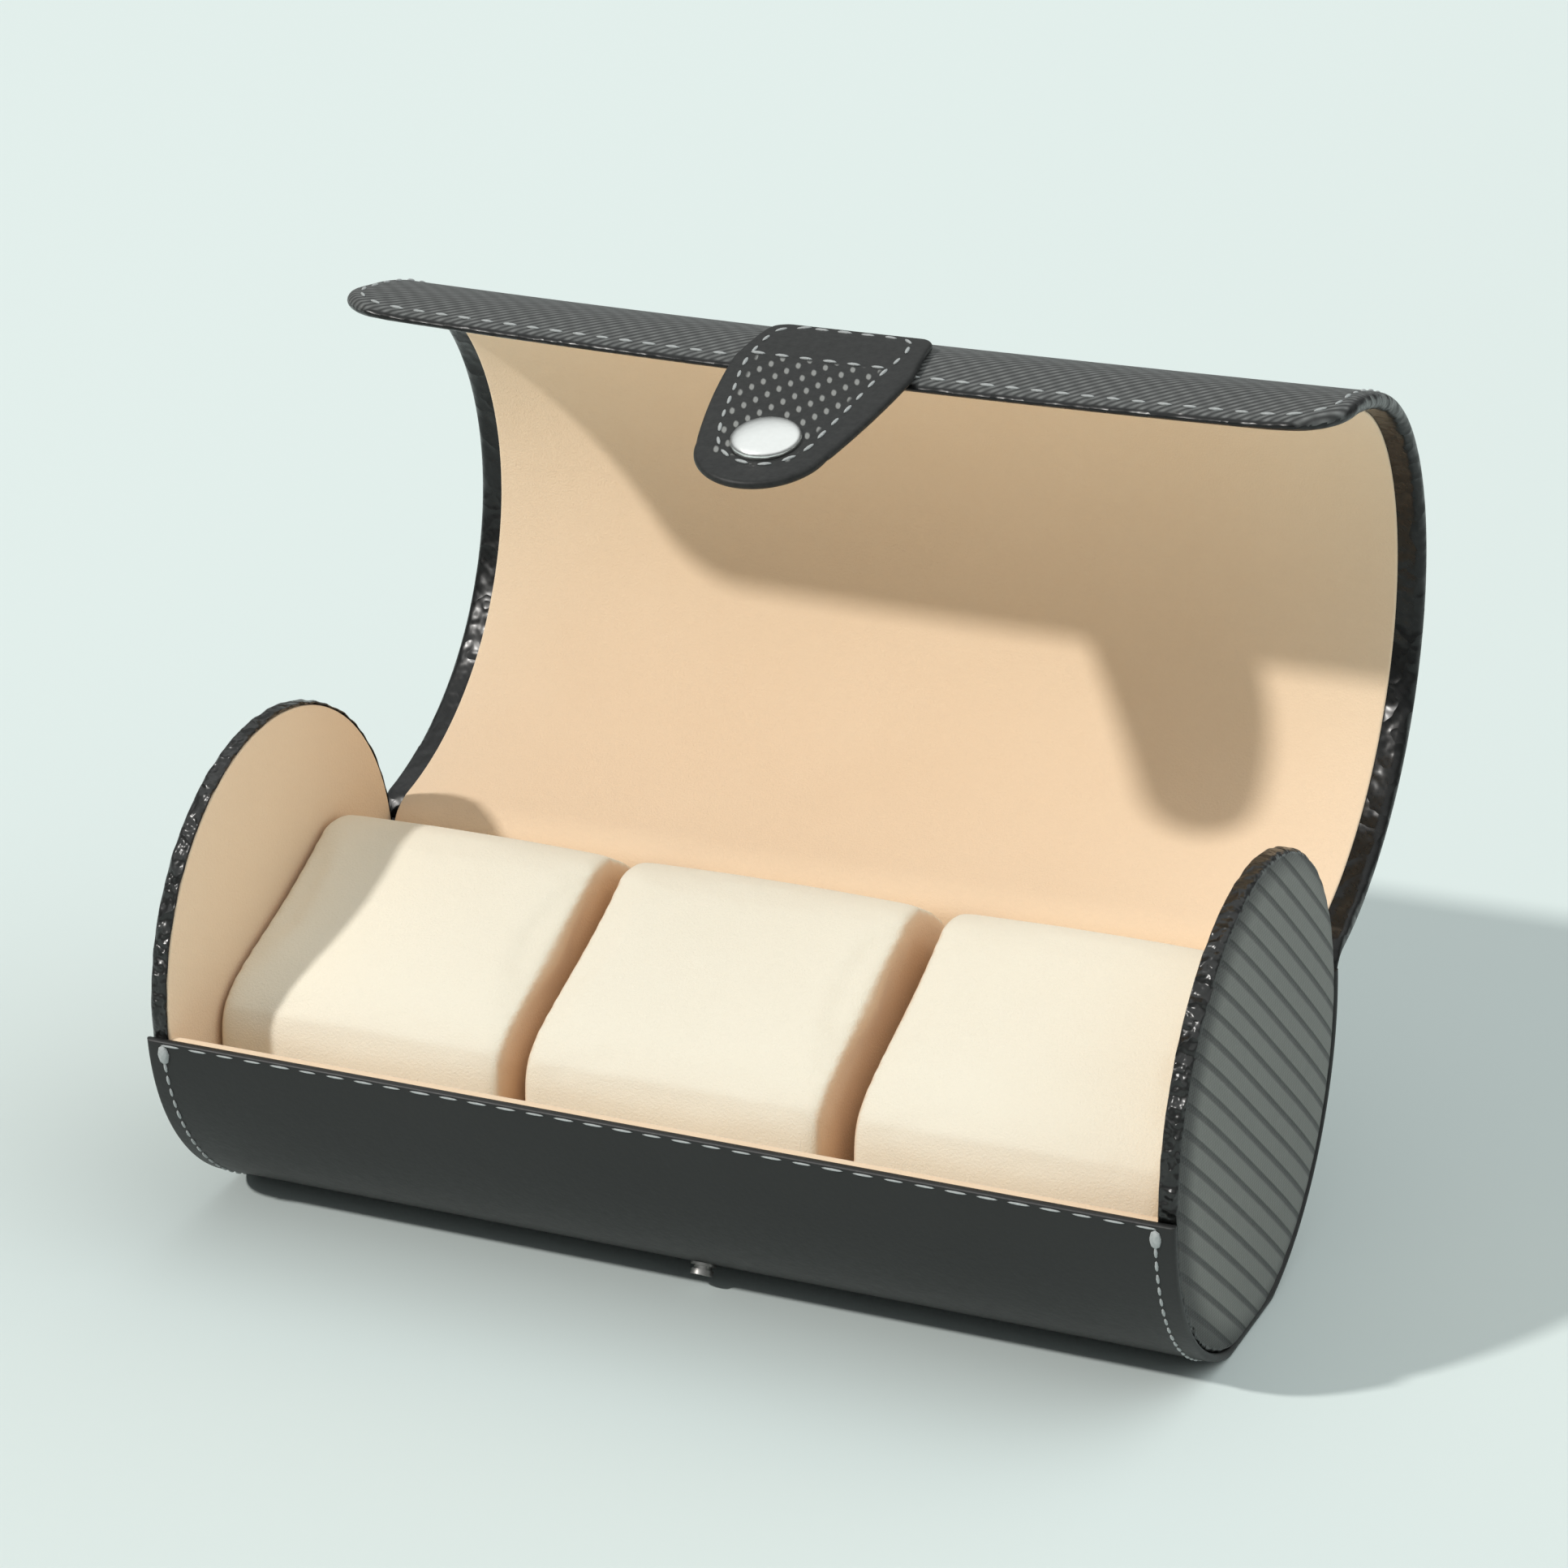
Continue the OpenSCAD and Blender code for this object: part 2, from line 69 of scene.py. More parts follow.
# %% [markdown]
# ## Sizes that the pieces share
# A maker would cut every piece from a few sizes: the roll's length and radius, the leather's
# thickness and the lid's panels. They are read from the frame where a part's box shows them, so
# the looks follow the parts. The angles of the open lid are those of the part's source.

# %% Shared sizes, in millimetres
base_low, base_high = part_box("base_cover")
HALF_LEN = base_high.x / MM
SHELL_R = -base_low.y / MM
FLAT_HALF = 12.0
AXIS_Z = math.sqrt(SHELL_R ** 2 - FLAT_HALF ** 2)
LEATHER_T = 1.6
BOARD_T = 2.0
VELOUR_T = 0.8
CAP_R = SHELL_R - LEATHER_T
LINING_R = CAP_R - BOARD_T
INNER_R = LINING_R - VELOUR_T
CAP_T = 4.6
FRONT_RIM, BACK_RIM = 185.0, 369.8
LID_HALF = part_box("lid_cover_3")[1].x / MM
LID_T = 3.8
LID_BORDER = 5.0
LID_CORNER = 11.0
PANEL_LEN = math.radians(199) * (SHELL_R + 0.6) / 5
PANEL_TURNS = (31.0, 35.5, 38.0, 44.5, 21.0)
LID_SLOPE = 11.5
LID_LEN = 5 * PANEL_LEN
STITCH_PITCH = PANEL_LEN / 7
hinge = np.array(joints["lid_hinge"]["pos_m"][1:]) / MM
print(f"shell radius {SHELL_R:.1f}, axis height {AXIS_Z:.1f}, lid length {LID_LEN:.1f}")

# %% [markdown]
# ## Places on the shell and on the lid
# Leather pieces lie on curved surfaces, so each gets a small map: from a place on the flat
# pattern (x along the roll, s along the curve) and a depth to a point in space. On the shell, s
# is an angle. On the lid, s is the length from the hinge over five arcs that join smoothly.

# %% Maps from the flat patterns to space
def arc_starts():
    """Where each panel of the lid starts on its inner face, and its slope there."""
    place, slope, starts = hinge.copy(), LID_SLOPE, []
    for turn in PANEL_TURNS:
        radius = PANEL_LEN / math.radians(turn)
        starts.append((place.copy(), slope, radius))
        a, b = math.radians(slope), math.radians(slope + turn)
        place = place + radius * np.array([math.sin(b) - math.sin(a), math.cos(a) - math.cos(b)])
        slope += turn
    return starts, place, slope


PANELS, lid_end, LID_END_SLOPE = arc_starts()
LID_BOW, LID_TWIST = 1.6, 0.8
LIFT_LEFT, LIFT_RIGHT = 1.3, 0.6
BOW_START = 4.5 * PANEL_LEN
EDGE_THIN, THIN_SPAN, THIN_POWER = 1.6, 12.0, 1.6
CORNER_FROM, CORNER_SPAN, CORNER_KEEPS = 16, 12, 0.6


def smooth(t):
    t = np.clip(t, 0, 1)
    return t * t * (3 - 2 * t)


def matched(*values):
    """Numbers and arrays brought to one common shape."""
    return np.broadcast_arrays(*(np.asarray(v, float) for v in values))


def bow(x, s):
    """How far the lid hangs down: its front between the corners, while the ends of its crest rise."""
    x = np.asarray(x, float) / LID_HALF
    front = smooth((s - BOW_START) / (LID_LEN - BOW_START))
    crest = smooth(1 - abs(s - 4 * PANEL_LEN) / PANEL_LEN)
    lift = np.where(x < 0, LIFT_LEFT, LIFT_RIGHT) * x ** 2
    return (LID_BOW * (1 - x ** 2) + LID_TWIST * x) * front - lift * crest


def skin(x, s):
    """Depth of the lid's outer face, which is pressed thinner towards the front edge."""
    near = np.clip(1 - (LID_LEN - np.asarray(s, float)) / THIN_SPAN, 0, 1) ** THIN_POWER
    corner = smooth((abs(np.asarray(x, float)) - (LID_HALF - CORNER_FROM)) / CORNER_SPAN)
    return LID_T - EDGE_THIN * near * (1 - CORNER_KEEPS * corner)


def on_lid(x, s, depth):
    """A point of the open lid: depth 0 is the inner face, LID_T the outer one."""
    x, s, depth = matched(x, s, depth)
    k = np.clip((s / PANEL_LEN).astype(int), 0, 4)
    start = np.array([p[0] for p in PANELS])[k]
    slope = np.radians(np.array([p[1] for p in PANELS])[k])
    radius = np.array([p[2] for p in PANELS])[k]
    b = slope + (s - k * PANEL_LEN) / radius
    y = start[..., 0] + radius * (np.sin(b) - np.sin(slope)) + depth * np.sin(b)
    z = start[..., 1] + radius * (np.cos(slope) - np.cos(b)) - depth * np.cos(b)
    return np.stack([x, y, z - bow(x, s)], -1)


def on_shell(x, angle, radius):
    """A point of the base shell, whose underside is pressed flat."""
    x, angle, radius = matched(x, angle, radius)
    a = np.radians(angle)
    z = np.maximum(AXIS_Z + radius * np.sin(a), SHELL_R - radius)
    return np.stack([x, radius * np.cos(a), z], -1)


print("lid ends at", np.round(lid_end, 2), "with slope", LID_END_SLOPE)

# %% [markdown]
# ## Rolled sheets
# Leather is never a sharp slab: its edges are folded or rubbed round. A sheet could be a plane
# with Solidify and Bevel, but then the round front corners would need handwork. Here a grid of
# pattern places is lifted twice, to the inner and to the outer face, and the two faces close in
# on each other near the outline by a quarter circle.

# %% Builders for closed sheets
def quarter_steps(steps):
    """Shares of a roll's width, close together at the outline."""
    return [1 - math.cos(math.pi / 2 * i / steps) for i in range(steps)]


def row_across(half, edge, core, spread):
    """Places across a sheet: the rolled edges, and the core between them."""
    return np.concatenate([[-half + e for e in edge], spread * core, [half - e for e in reversed(edge)]])


def ladder(low, high, step, roll_low=0.0, roll_high=0.0, steps=6):
    """Places from low to high, close together where an edge is rolled."""
    curve = quarter_steps(steps)
    first = [low + roll_low * c for c in curve] if roll_low else []
    final = [high - roll_high * c for c in reversed(curve)] if roll_high else []
    start, stop = low + roll_low, high - roll_high
    middle = np.linspace(start, stop, max(2, int(round((stop - start) / step)) + 1))
    return np.concatenate([first, middle, final])


def rolled(distance, roll):
    """Share of the full thickness that is left at a distance from the outline."""
    t = np.clip(distance / roll, 0, 1)
    return np.sqrt(np.clip(1 - (1 - t) ** 2, 0, 1))


def placed(name, data):
    """A new object, linked to the scene."""
    made = bpy.data.objects.new(name, data)
    bpy.context.scene.collection.objects.link(made)
    return made


def mark(mesh, name, values):
    """Stores one number for each point of a mesh, for its material."""
    mesh.attributes.new(name, "FLOAT", "POINT").data.foreach_set("value", values.astype(np.float32))


def finish_mesh(name, points, faces, uvs=None, sharp=35.0, inside=None):
    """Makes the object: points in millimetres, doubles merged, normals outwards."""
    mesh = bpy.data.meshes.new(name)
    mesh.from_pydata((np.asarray(points, float) * MM).tolist(), [], faces)
    if inside is not None:
        mark(mesh, "inside", inside)
    if uvs is not None:
        layer = mesh.uv_layers.new(name="pattern")
        corner = np.zeros(len(mesh.loops), int)
        mesh.loops.foreach_get("vertex_index", corner)
        layer.data.foreach_set("uv", (np.asarray(uvs, float)[corner] * MM).ravel())
    work = bmesh.new()
    work.from_mesh(mesh)
    bmesh.ops.remove_doubles(work, verts=work.verts, dist=2e-6)
    bmesh.ops.dissolve_degenerate(work, edges=work.edges, dist=1e-6)
    bmesh.ops.recalc_face_normals(work, faces=work.faces)
    work.to_mesh(mesh)
    work.free()
    mesh.shade_smooth()
    mesh.set_sharp_from_angle(angle=math.radians(sharp))
    return placed(name, mesh)


def between(name, inner, outer, uvs, sharp=35.0):
    """A closed solid between two grids of points that have the same rows and columns."""
    rows, cols = inner.shape[:2]
    count = rows * cols
    faces = []
    for r in range(rows - 1):
        for c in range(cols - 1):
            a = r * cols + c
            quad = (a, a + 1, a + cols + 1, a + cols)
            faces.append(quad[::-1])
            faces.append(tuple(q + count for q in quad))
    index = np.arange(count).reshape(rows, cols)
    edge = np.concatenate([index[0], index[1:, -1], index[-1, -2::-1], index[-2:0:-1, 0]]).tolist()
    for a, b in zip(edge, edge[1:] + edge[:1]):
        faces.append((a, b, b + count, a + count))
    points = np.concatenate([inner.reshape(-1, 3), outer.reshape(-1, 3)])
    flat = np.asarray(uvs).reshape(-1, 2)
    inside = np.repeat([1.0, 0.0], count)
    return finish_mesh(name, points, faces, np.concatenate([flat, flat]), sharp, inside)


def ring_faces(rings, steps):
    """Faces between closed rings of points, each ring with the same number of points."""
    return [(r * steps + c, r * steps + n, (r + 1) * steps + n, (r + 1) * steps + c)
            for r in range(rings - 1) for c in range(steps) for n in [(c + 1) % steps]]


# %% [markdown]
# ## Node arithmetic
# Materials are easier to read as formulas than as wires. This small class holds one socket, and
# its operators add Math nodes. Everything else, such as a noise or a colour mix, comes from its
# method node, which sets the node's options first and then its inputs.

# %% A class for shader formulas
class Wire:
    """One output socket of a material's tree, which Python's operators work on."""

    def __init__(self, tree, socket):
        self.tree, self.socket = tree, socket

    def node(self, kind, inputs=None, output=0, stops=None, **options):
        made = self.tree.nodes.new(kind)
        for name, value in options.items():
            setattr(made, name, value)
        if stops:
            ramp = made.color_ramp
            while len(ramp.elements) < len(stops):
                ramp.elements.new(1.0)
            for element, (at, colour) in zip(ramp.elements, stops):
                element.position, element.color = at, (*colour, 1.0)
        for key, value in (inputs or {}).items():
            if isinstance(value, Wire):
                self.tree.links.new(value.socket, made.inputs[key])
            else:
                made.inputs[key].default_value = value
        return Wire(self.tree, made.outputs[output])

    def math(self, operation, *values):
        return self.node("ShaderNodeMath", dict(enumerate(values)), operation=operation)

    def __add__(self, other): return self.math("ADD", self, other)
    def __radd__(self, other): return self.math("ADD", other, self)
    def __sub__(self, other): return self.math("SUBTRACT", self, other)
    def __rsub__(self, other): return self.math("SUBTRACT", other, self)
    def __mul__(self, other): return self.math("MULTIPLY", self, other)
    def __abs__(self): return self.math("ABSOLUTE", self)

    def waves(self, pitch_mm): return self.math("SINE", self * (2 * math.pi / (pitch_mm * MM)))
    def root(self): return self.math("SQRT", self)
    def largest(self, other): return self.math("MAXIMUM", self, other)
    def part(self, letter): return self.node("ShaderNodeSeparateXYZ", {0: self}, output="xyz".index(letter))
    def marked(self, name): return self.node("ShaderNodeAttribute", output=2, attribute_name=name)

    def step(self, low, high):
        """0 below low, 1 above high, and smooth between them."""
        return self.node("ShaderNodeMapRange", {0: self, 1: low, 2: high}, interpolation_type="SMOOTHSTEP")

    def step_mm(self, low, high): return self.step(low * MM, high * MM)

    def tint(self, dark, light):
        """A colour that goes from dark to light as this value goes from 0 to 1."""
        dark, light = (c if isinstance(c, Wire) else (*c, 1.0) for c in (dark, light))
        return self.node("ShaderNodeMix", {0: self, 6: dark, 7: light}, output=2, data_type="RGBA")

    def noise(self, size_mm, detail=2.0, rough=0.5):
        inputs = {"Vector": self, "Scale": 1 / (size_mm * MM), "Detail": detail, "Roughness": rough}
        return self.node("ShaderNodeTexNoise", inputs)

    def bump(self, height, depth_mm, normal=None):
        inputs = {"Height": height, "Distance": depth_mm * MM, "Strength": 1.0}
        if normal is not None:
            inputs["Normal"] = normal
        return self.node("ShaderNodeBump", inputs)


def new_material(name):
    """A material with one Principled shader. Gives the material, a wire to work from and the shader."""
    material = bpy.data.materials.new(name)
    material.use_nodes = True
    tree = material.node_tree
    shader = tree.nodes["Principled BSDF"]
    place = Wire(tree, tree.nodes.new("ShaderNodeTexCoord").outputs["Object"])
    return material, place, shader


def pattern(place):
    """The two coordinates of a piece's flat pattern."""
    flat = place.node("ShaderNodeUVMap", uv_map="pattern")
    return flat.part("x"), flat.part("y")


def plug(shader, **values):
    """Sets the shader's sockets, from numbers, colours or wires."""
    for key, value in values.items():
        socket = shader.inputs[key.replace("_", " ")]
        if isinstance(value, Wire):
            value.tree.links.new(value.socket, socket)
        else:
            socket.default_value = value


# %% [markdown]
# ## Leathers
# The base is covered in smooth satin leather, with a fine pebbled grain. The lid and the caps
# are in an embossed leather: a fine diagonal twill on the lid, broad slanting ribs on the caps'
# faces. The tab has slanting rows of raised dots. Where the leather is pulled round an edge it
# is glossy and crinkled. The emboss is a bump from the pattern's own coordinates, so it follows
# the curve, and the grain is cells.

# %% Leather materials
LEATHER_DARK = (0.008, 0.0082, 0.0080)
LEATHER_LIGHT = (0.019, 0.0192, 0.0188)


def grain(place, cell_mm, depth_mm, normal=None):
    """Pebbled leather grain as a bump."""
    inputs = {"Vector": place, "Scale": 1 / (cell_mm * MM)}
    pebbles = place.node("ShaderNodeTexVoronoi", inputs, feature="SMOOTH_F1")
    fine = place.noise(0.35 * cell_mm, 3.0)
    return place.bump(pebbles * 0.8 + fine * 0.4, depth_mm, normal)


def crinkle(place, mask, fold_mm, depth_mm, normal):
    """The glossy folds of leather that is pulled round an edge."""
    folds = place.noise(fold_mm, 2.0, 0.45)
    ridges = 1 - abs(folds - 0.5) * 5
    return place.bump(ridges * mask, depth_mm, normal)


smooth_leather, place, shader = new_material("smooth_leather")
cloud = place.noise(30, 3.0)
wear = place.noise(2.0, 4.0, 0.65)
plug(shader,
     Base_Color=(cloud * 0.6 + wear * 0.4).tint(LEATHER_DARK, LEATHER_LIGHT),
     Roughness=0.4 + wear * 0.16,
     Normal=grain(place, 0.9, 0.035),
     Specular_IOR_Level=0.42)

twill_leather, place, shader = new_material("twill_leather")
across, along = pattern(place)
TWILL_MM = 1.25
EDGE_MM = 1.3
twill = (across * 0.66 + along * 0.75).waves(TWILL_MM)
counter = (across * 0.75 - along * 0.66).waves(2.3 * TWILL_MM)
rib = (twill * 0.5 + 0.5) * (counter * 0.2 + 0.8)
side = abs(across).step_mm(LID_HALF - EDGE_MM, LID_HALF - EDGE_MM + 0.8)
side = side.largest(place.marked("inside").step(0.3, 0.7)).largest(along.step_mm(LID_LEN - 0.9, LID_LEN - 0.4))
worn = place.noise(1.6, 3.0, 0.6)
tone = (rib * 0.85 + worn * 0.3) * (1 - side)
plug(shader,
     Base_Color=tone.tint((0.005, 0.0052, 0.0052), (0.17, 0.176, 0.173)),
     Roughness=0.5 - side * 0.16 - rib * 0.08,
     Normal=crinkle(place, side, 7.0, 0.35, place.bump(rib * (1 - side), 0.12)),
     Specular_IOR_Level=0.36)

basket_leather, place, shader = new_material("basket_leather")
across, along = pattern(place)
STEP_A, STEP_B = (1.35, -2.2), (2.45, 4.0)
cell = STEP_A[0] * STEP_B[1] - STEP_A[1] * STEP_B[0]
count_a = (across * STEP_B[1] - along * STEP_B[0]).waves(cell)
count_b = (along * STEP_A[0] - across * STEP_A[1]).waves(cell)
reach = abs(across + 1.0 * MM) + along * 0.14
free = along.step_mm(-1.6, -0.6) * (1 - reach.step_mm(11.6, 12.4)) * (1 - along.step_mm(31, 32))
dots = (count_a + count_b).step(0.75, 1.55) * free
worn = place.noise(1.2, 3.0, 0.6)
plug(shader,
     Base_Color=(dots * 0.9 + worn * 0.1).tint((0.005, 0.0053, 0.0053), (0.27, 0.275, 0.265)),
     Roughness=0.5 - dots * 0.1,
     Normal=place.bump(dots, 0.22, grain(place, 0.7, 0.03)),
     Specular_IOR_Level=0.3)
print("leathers:", smooth_leather.name, twill_leather.name, basket_leather.name)

# %% [markdown]
# The caps' leather has three zones on one piece: ribs on the outer face, a smooth turned-in ring, and a
# crinkled glossy band round the rim. The zones are told apart by the distance from the roll's axis and by x,
# both from Object coordinates, as the caps never bend. Towards the rim the face is painted darker, more so at
# the front: painted shade.

# %% Cap leather
cap_leather, place, shader = new_material("cap_leather")
RIB_MM = 4.2
RIB_LEAN = math.radians(37)
WEAVE_MM = (1.1, 0.83)
PAINTED_SHADE_FROM, PAINTED_SHADE_TO = 0.86 * CAP_R, 1.01 * CAP_R
back, up = place.part("y"), place.part("z") - AXIS_Z * MM
radius = (back * back + up * up).root()
run = back * math.sin(RIB_LEAN) + up * math.cos(RIB_LEAN)
cross_run = back * math.cos(RIB_LEAN) - up * math.sin(RIB_LEAN)
groove = run.waves(RIB_MM).step(0.45, 1.0)
weave = cross_run.waves(WEAVE_MM[0]) * run.waves(WEAVE_MM[1]) * 0.5 + 0.5
face = abs(place.part("x")).step_mm(HALF_LEN - 2.2, HALF_LEN - 1.7)
face = face * (1 - radius.step_mm(CAP_R - 1.0, CAP_R - 0.5))
band = 1 - face
worn = place.noise(1.8, 3.0, 0.6)
# Painted shade: the face darkens towards its rim, more at the front.
shade = 1 - (radius - back * 0.06).step_mm(PAINTED_SHADE_FROM, PAINTED_SHADE_TO) * 0.75
tone = face * ((1 - groove * 0.8) * (0.5 + weave * 0.2) + worn * 0.12) * shade + band * (worn * 0.04)
plug(shader,
     Base_Color=tone.tint((0.006, 0.006, 0.006), (0.20, 0.205, 0.185)),
     Roughness=0.55 - band * 0.27,
     Normal=crinkle(place, band, 4.6, 0.8, place.bump((1 - groove) * face + weave * face * 0.2, 0.35)),
     Specular_IOR_Level=0.5)
print("cap leather ready")

# %% [markdown]
# ## Velour, thread and metal
# The velour is a short warm pile. Seen close it is a fine speckle, and from afar its nap gives
# soft clouds, so a noise in two sizes drives both colour and a shallow bump. Thread is waxed
# and twisted. The snap is plated steel, almost a mirror, with faint handling marks.

# %% Velour, thread and metal materials
def velour(name, shade, light, nap_mm, painted_side_shade=None):
    """Short pile. A second, darker colour, if given, is painted shade: it shows where the attribute of that
    name is 1.
    """
    material, place, shader = new_material(name)
    pile = place.noise(0.45, 3.0, 0.7)
    nap = place.noise(nap_mm, 3.0, 0.5)
    colour = (nap * 0.7 + pile * 0.3).tint(shade, light)
    if painted_side_shade:
        colour = place.marked("painted_side_shade").tint(colour, painted_side_shade)
    plug(shader,
         Base_Color=colour,
         Roughness=0.86 + pile * 0.1,
         Normal=place.bump(pile, 0.16, place.bump(nap, 0.5)),
         Specular_IOR_Level=0.2, Sheen_Weight=0.25, Sheen_Roughness=0.5)
    return material


lining_velour = velour("lining_velour", (0.87, 0.665, 0.465), (0.92, 0.725, 0.525), 26)
# The pillows' third colour is painted shade for their sides that face along the roll.
pillow_velour = velour("pillow_velour", (0.89, 0.83, 0.69), (0.93, 0.885, 0.76), 30, (0.82, 0.60, 0.40))

thread, place, shader = new_material("waxed_thread")
twist = place.noise(0.5, 2.0)
plug(shader, Base_Color=twist.tint((0.30, 0.32, 0.32), (0.52, 0.54, 0.54)), Roughness=0.55 + twist * 0.2,
     Normal=place.bump(twist, 0.12))

snap_steel, place, shader = new_material("snap_steel")
marks = place.noise(0.9, 3.0, 0.6)
plug(shader, Base_Color=marks.tint((0.86, 0.86, 0.84), (0.94, 0.94, 0.92)), Metallic=1.0,
     Roughness=0.16 + marks * 0.12, Normal=place.bump(marks, 0.02))
print("velour, thread and metal ready")


# %% Helper that dresses a piece
def dress(piece, material, slot, *replaced):
    """Gives a piece its material and hides the parts it stands for; the slot is not used."""
    piece.data.materials.clear()
    piece.data.materials.append(material)
    if replaced:
        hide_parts(*replaced)
    return piece


# %% [markdown]
# ## Base shell
# The trough's leather is one sheet bent over the greyboard and rolled at the rims. Bending a
# rolled sheet over the shell's map gives it with its real thickness, and the small rounding at
# the rims and ends catches the light as the real edges do.

# %% Base shell leather and lining
def shell_sheet(name, r_in, r_out, half_len, drop, roll, end_roll):
    """A layer of the trough between two radii, its rims set below the leather's by drop."""
    per_mm = math.degrees(1 / r_out)
    low, high = FRONT_RIM + drop * per_mm, BACK_RIM - drop * per_mm
    angles = ladder(low, high, 2.0, roll * per_mm, roll * per_mm)
    xs = ladder(-half_len, half_len, 4.0, end_roll, end_roll, 4)
    x, angle = np.meshgrid(xs, angles)
    rim_gap = np.minimum(angle - low, high - angle) / per_mm
    share = np.minimum(rolled(rim_gap, roll), rolled(half_len - abs(x), end_roll))
    mid, half = (r_in + r_out) / 2, (r_out - r_in) / 2
    uvs = np.stack([x, angle / per_mm], -1)
    return between(name, on_shell(x, angle, mid - half * share), on_shell(x, angle, mid + half * share), uvs)


SHELL_SHORT = 0.9
shell_leather = shell_sheet("shell_leather", CAP_R, SHELL_R, HALF_LEN - SHELL_SHORT, 0.0, 0.5, 0.8)
dress(shell_leather, smooth_leather, "smooth_leather", "base_cover")
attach(shell_leather, "root")
shell_lining = shell_sheet("shell_lining", INNER_R, CAP_R - 0.05, HALF_LEN - CAP_T, 0.6, 1.1, 0.3)
dress(shell_lining, lining_velour, "velour_lining", "base_lining", "base_board")
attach(shell_lining, "root")
print("shell faces:", len(shell_leather.data.polygons), len(shell_lining.data.polygons))

# %% [markdown]
# ## End caps
# Each cap is a stiff disc: leather drawn over its outer face and rim, velour on the inside. It
# is turned like a wooden knob, from a profile of (distance from the roll's middle, radius),
# and pressed flat below like the shell. The leather's rim is uneven, because it is gathered
# round a curve, so the rim's radius wavers by a few tenths of a millimetre.

# %% End caps
CAP_FLOOR = SHELL_R - CAP_R
RIM_TURN = 1.2
FACE_DOME = 1.1


def turned(name, profile, side, waver=0.0, steps=288):
    """A solid of revolution about the roll's axis, pressed flat below. Waver gathers its rim in folds."""
    angles = np.linspace(0, 360, steps, endpoint=False)
    rows = []
    for x, r in profile:
        folds = sum(np.sin(np.radians(n * angles + 37 * n + 2.1 * n * x)) for n in (19, 31, 47, 61)) / 4
        reach = r + (waver * folds if r > CAP_R - 1.2 else 0)
        y = reach * np.cos(np.radians(angles))
        z = np.maximum(AXIS_Z + reach * np.sin(np.radians(angles)), CAP_FLOOR)
        rows.append(np.stack([np.full(steps, side * x), y, z], -1))
    return finish_mesh(name, np.concatenate(rows), ring_faces(len(profile), steps), None, 40)


def quarter(x, r, turn, start, steps=5):
    """Points of a rounded corner about (x, r), from an angle on, a quarter turn back."""
    return [(x + turn * math.cos(math.radians(start + 90 * i / steps)),
             r + turn * math.sin(math.radians(start + 90 * i / steps))) for i in range(steps + 1)]


def cap_profiles():
    inside = HALF_LEN - CAP_T
    face = [(HALF_LEN - FACE_DOME * (r / CAP_R) ** 4, r) for r in (0, 10, 20, 28, 34, 38, 40, 41.5)]
    outer = quarter(HALF_LEN - FACE_DOME - RIM_TURN, CAP_R - RIM_TURN, RIM_TURN, 0)
    back = [(HALF_LEN - FACE_DOME - RIM_TURN - d, CAP_R - 0.05) for d in (0.5, 1.0, 1.5)]
    back += quarter(inside + 0.35, CAP_R - 0.45, 0.35, 90)
    well = [(inside + 0.1, LINING_R + 1.6), (inside + 0.9, LINING_R + 1.4), (inside + 0.9, 0)]
    leather = face + outer + back + well
    lining = [(inside - 0.15, r) for r in (0, 14, 28, 40)] + [
        (inside + 0.25 - 0.4 * math.cos(math.radians(a)), LINING_R + 0.9 + 0.4 * math.sin(math.radians(a)))
        for a in (0, 20, 40, 60, 80, 90)] + [(inside + 0.85, LINING_R + 1.3), (inside + 0.85, 0)]
    return leather, lining


for side, name in ((-1, "left"), (1, "right")):
    leather_profile, lining_profile = cap_profiles()
    cover = turned(f"{name}_cap_leather", leather_profile, side, 0.22)
    dress(cover, cap_leather, "carbon_leather", f"{name}_cap_cover", f"{name}_cap_board")
    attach(cover, "root")
    pad = turned(f"{name}_cap_velour", lining_profile, side)
    dress(pad, lining_velour, "velour_lining", f"{name}_cap_lining")
    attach(pad, "root")
    print(cover.name, len(cover.data.polygons), pad.name, len(pad.data.polygons))

# %% [markdown]
# ## Lid leather and lining
# The real lid is one sheet, but the moving part bends in five places. So the sheet is cut into strips between
# the panels' middles. Each strip lies over one bend, and at a cut the strips meet edge to edge on the same
# curve. The last strip is bound to the last panel; the others stay fixed where they lie.

# %% Lid strips
CUTS = [0.5 * PANEL_LEN + k * PANEL_LEN for k in range(5)]
ROLL = 1.9
LEATHER_IN = 0.5
LINING_OUT = 0.7
LINING_ROLL = 0.6
ROW_STEP = 1.5
BLEND_SHARE = 0.42


def outline_gap(x, s, inset=0.0):
    """Distance from the lid's outline, drawn in by an inset, with its round front corners."""
    corner, half, end = LID_CORNER - inset, LID_HALF - inset, LID_LEN - inset
    gap = np.minimum(half - abs(x), end - s)
    dx, ds = abs(x) - (half - corner), s - (end - corner)
    return np.where((dx > 0) & (ds > 0), corner - np.hypot(dx, ds), gap)


def half_width(s, inset=0.0):
    """Half of the lid's width at s, which falls away in the round front corners."""
    corner, half, end = LID_CORNER - inset, LID_HALF - inset, LID_LEN - inset
    ds = np.clip(s - (end - corner), 0, corner)
    return half - corner + np.sqrt(np.maximum(corner ** 2 - ds ** 2, 0))


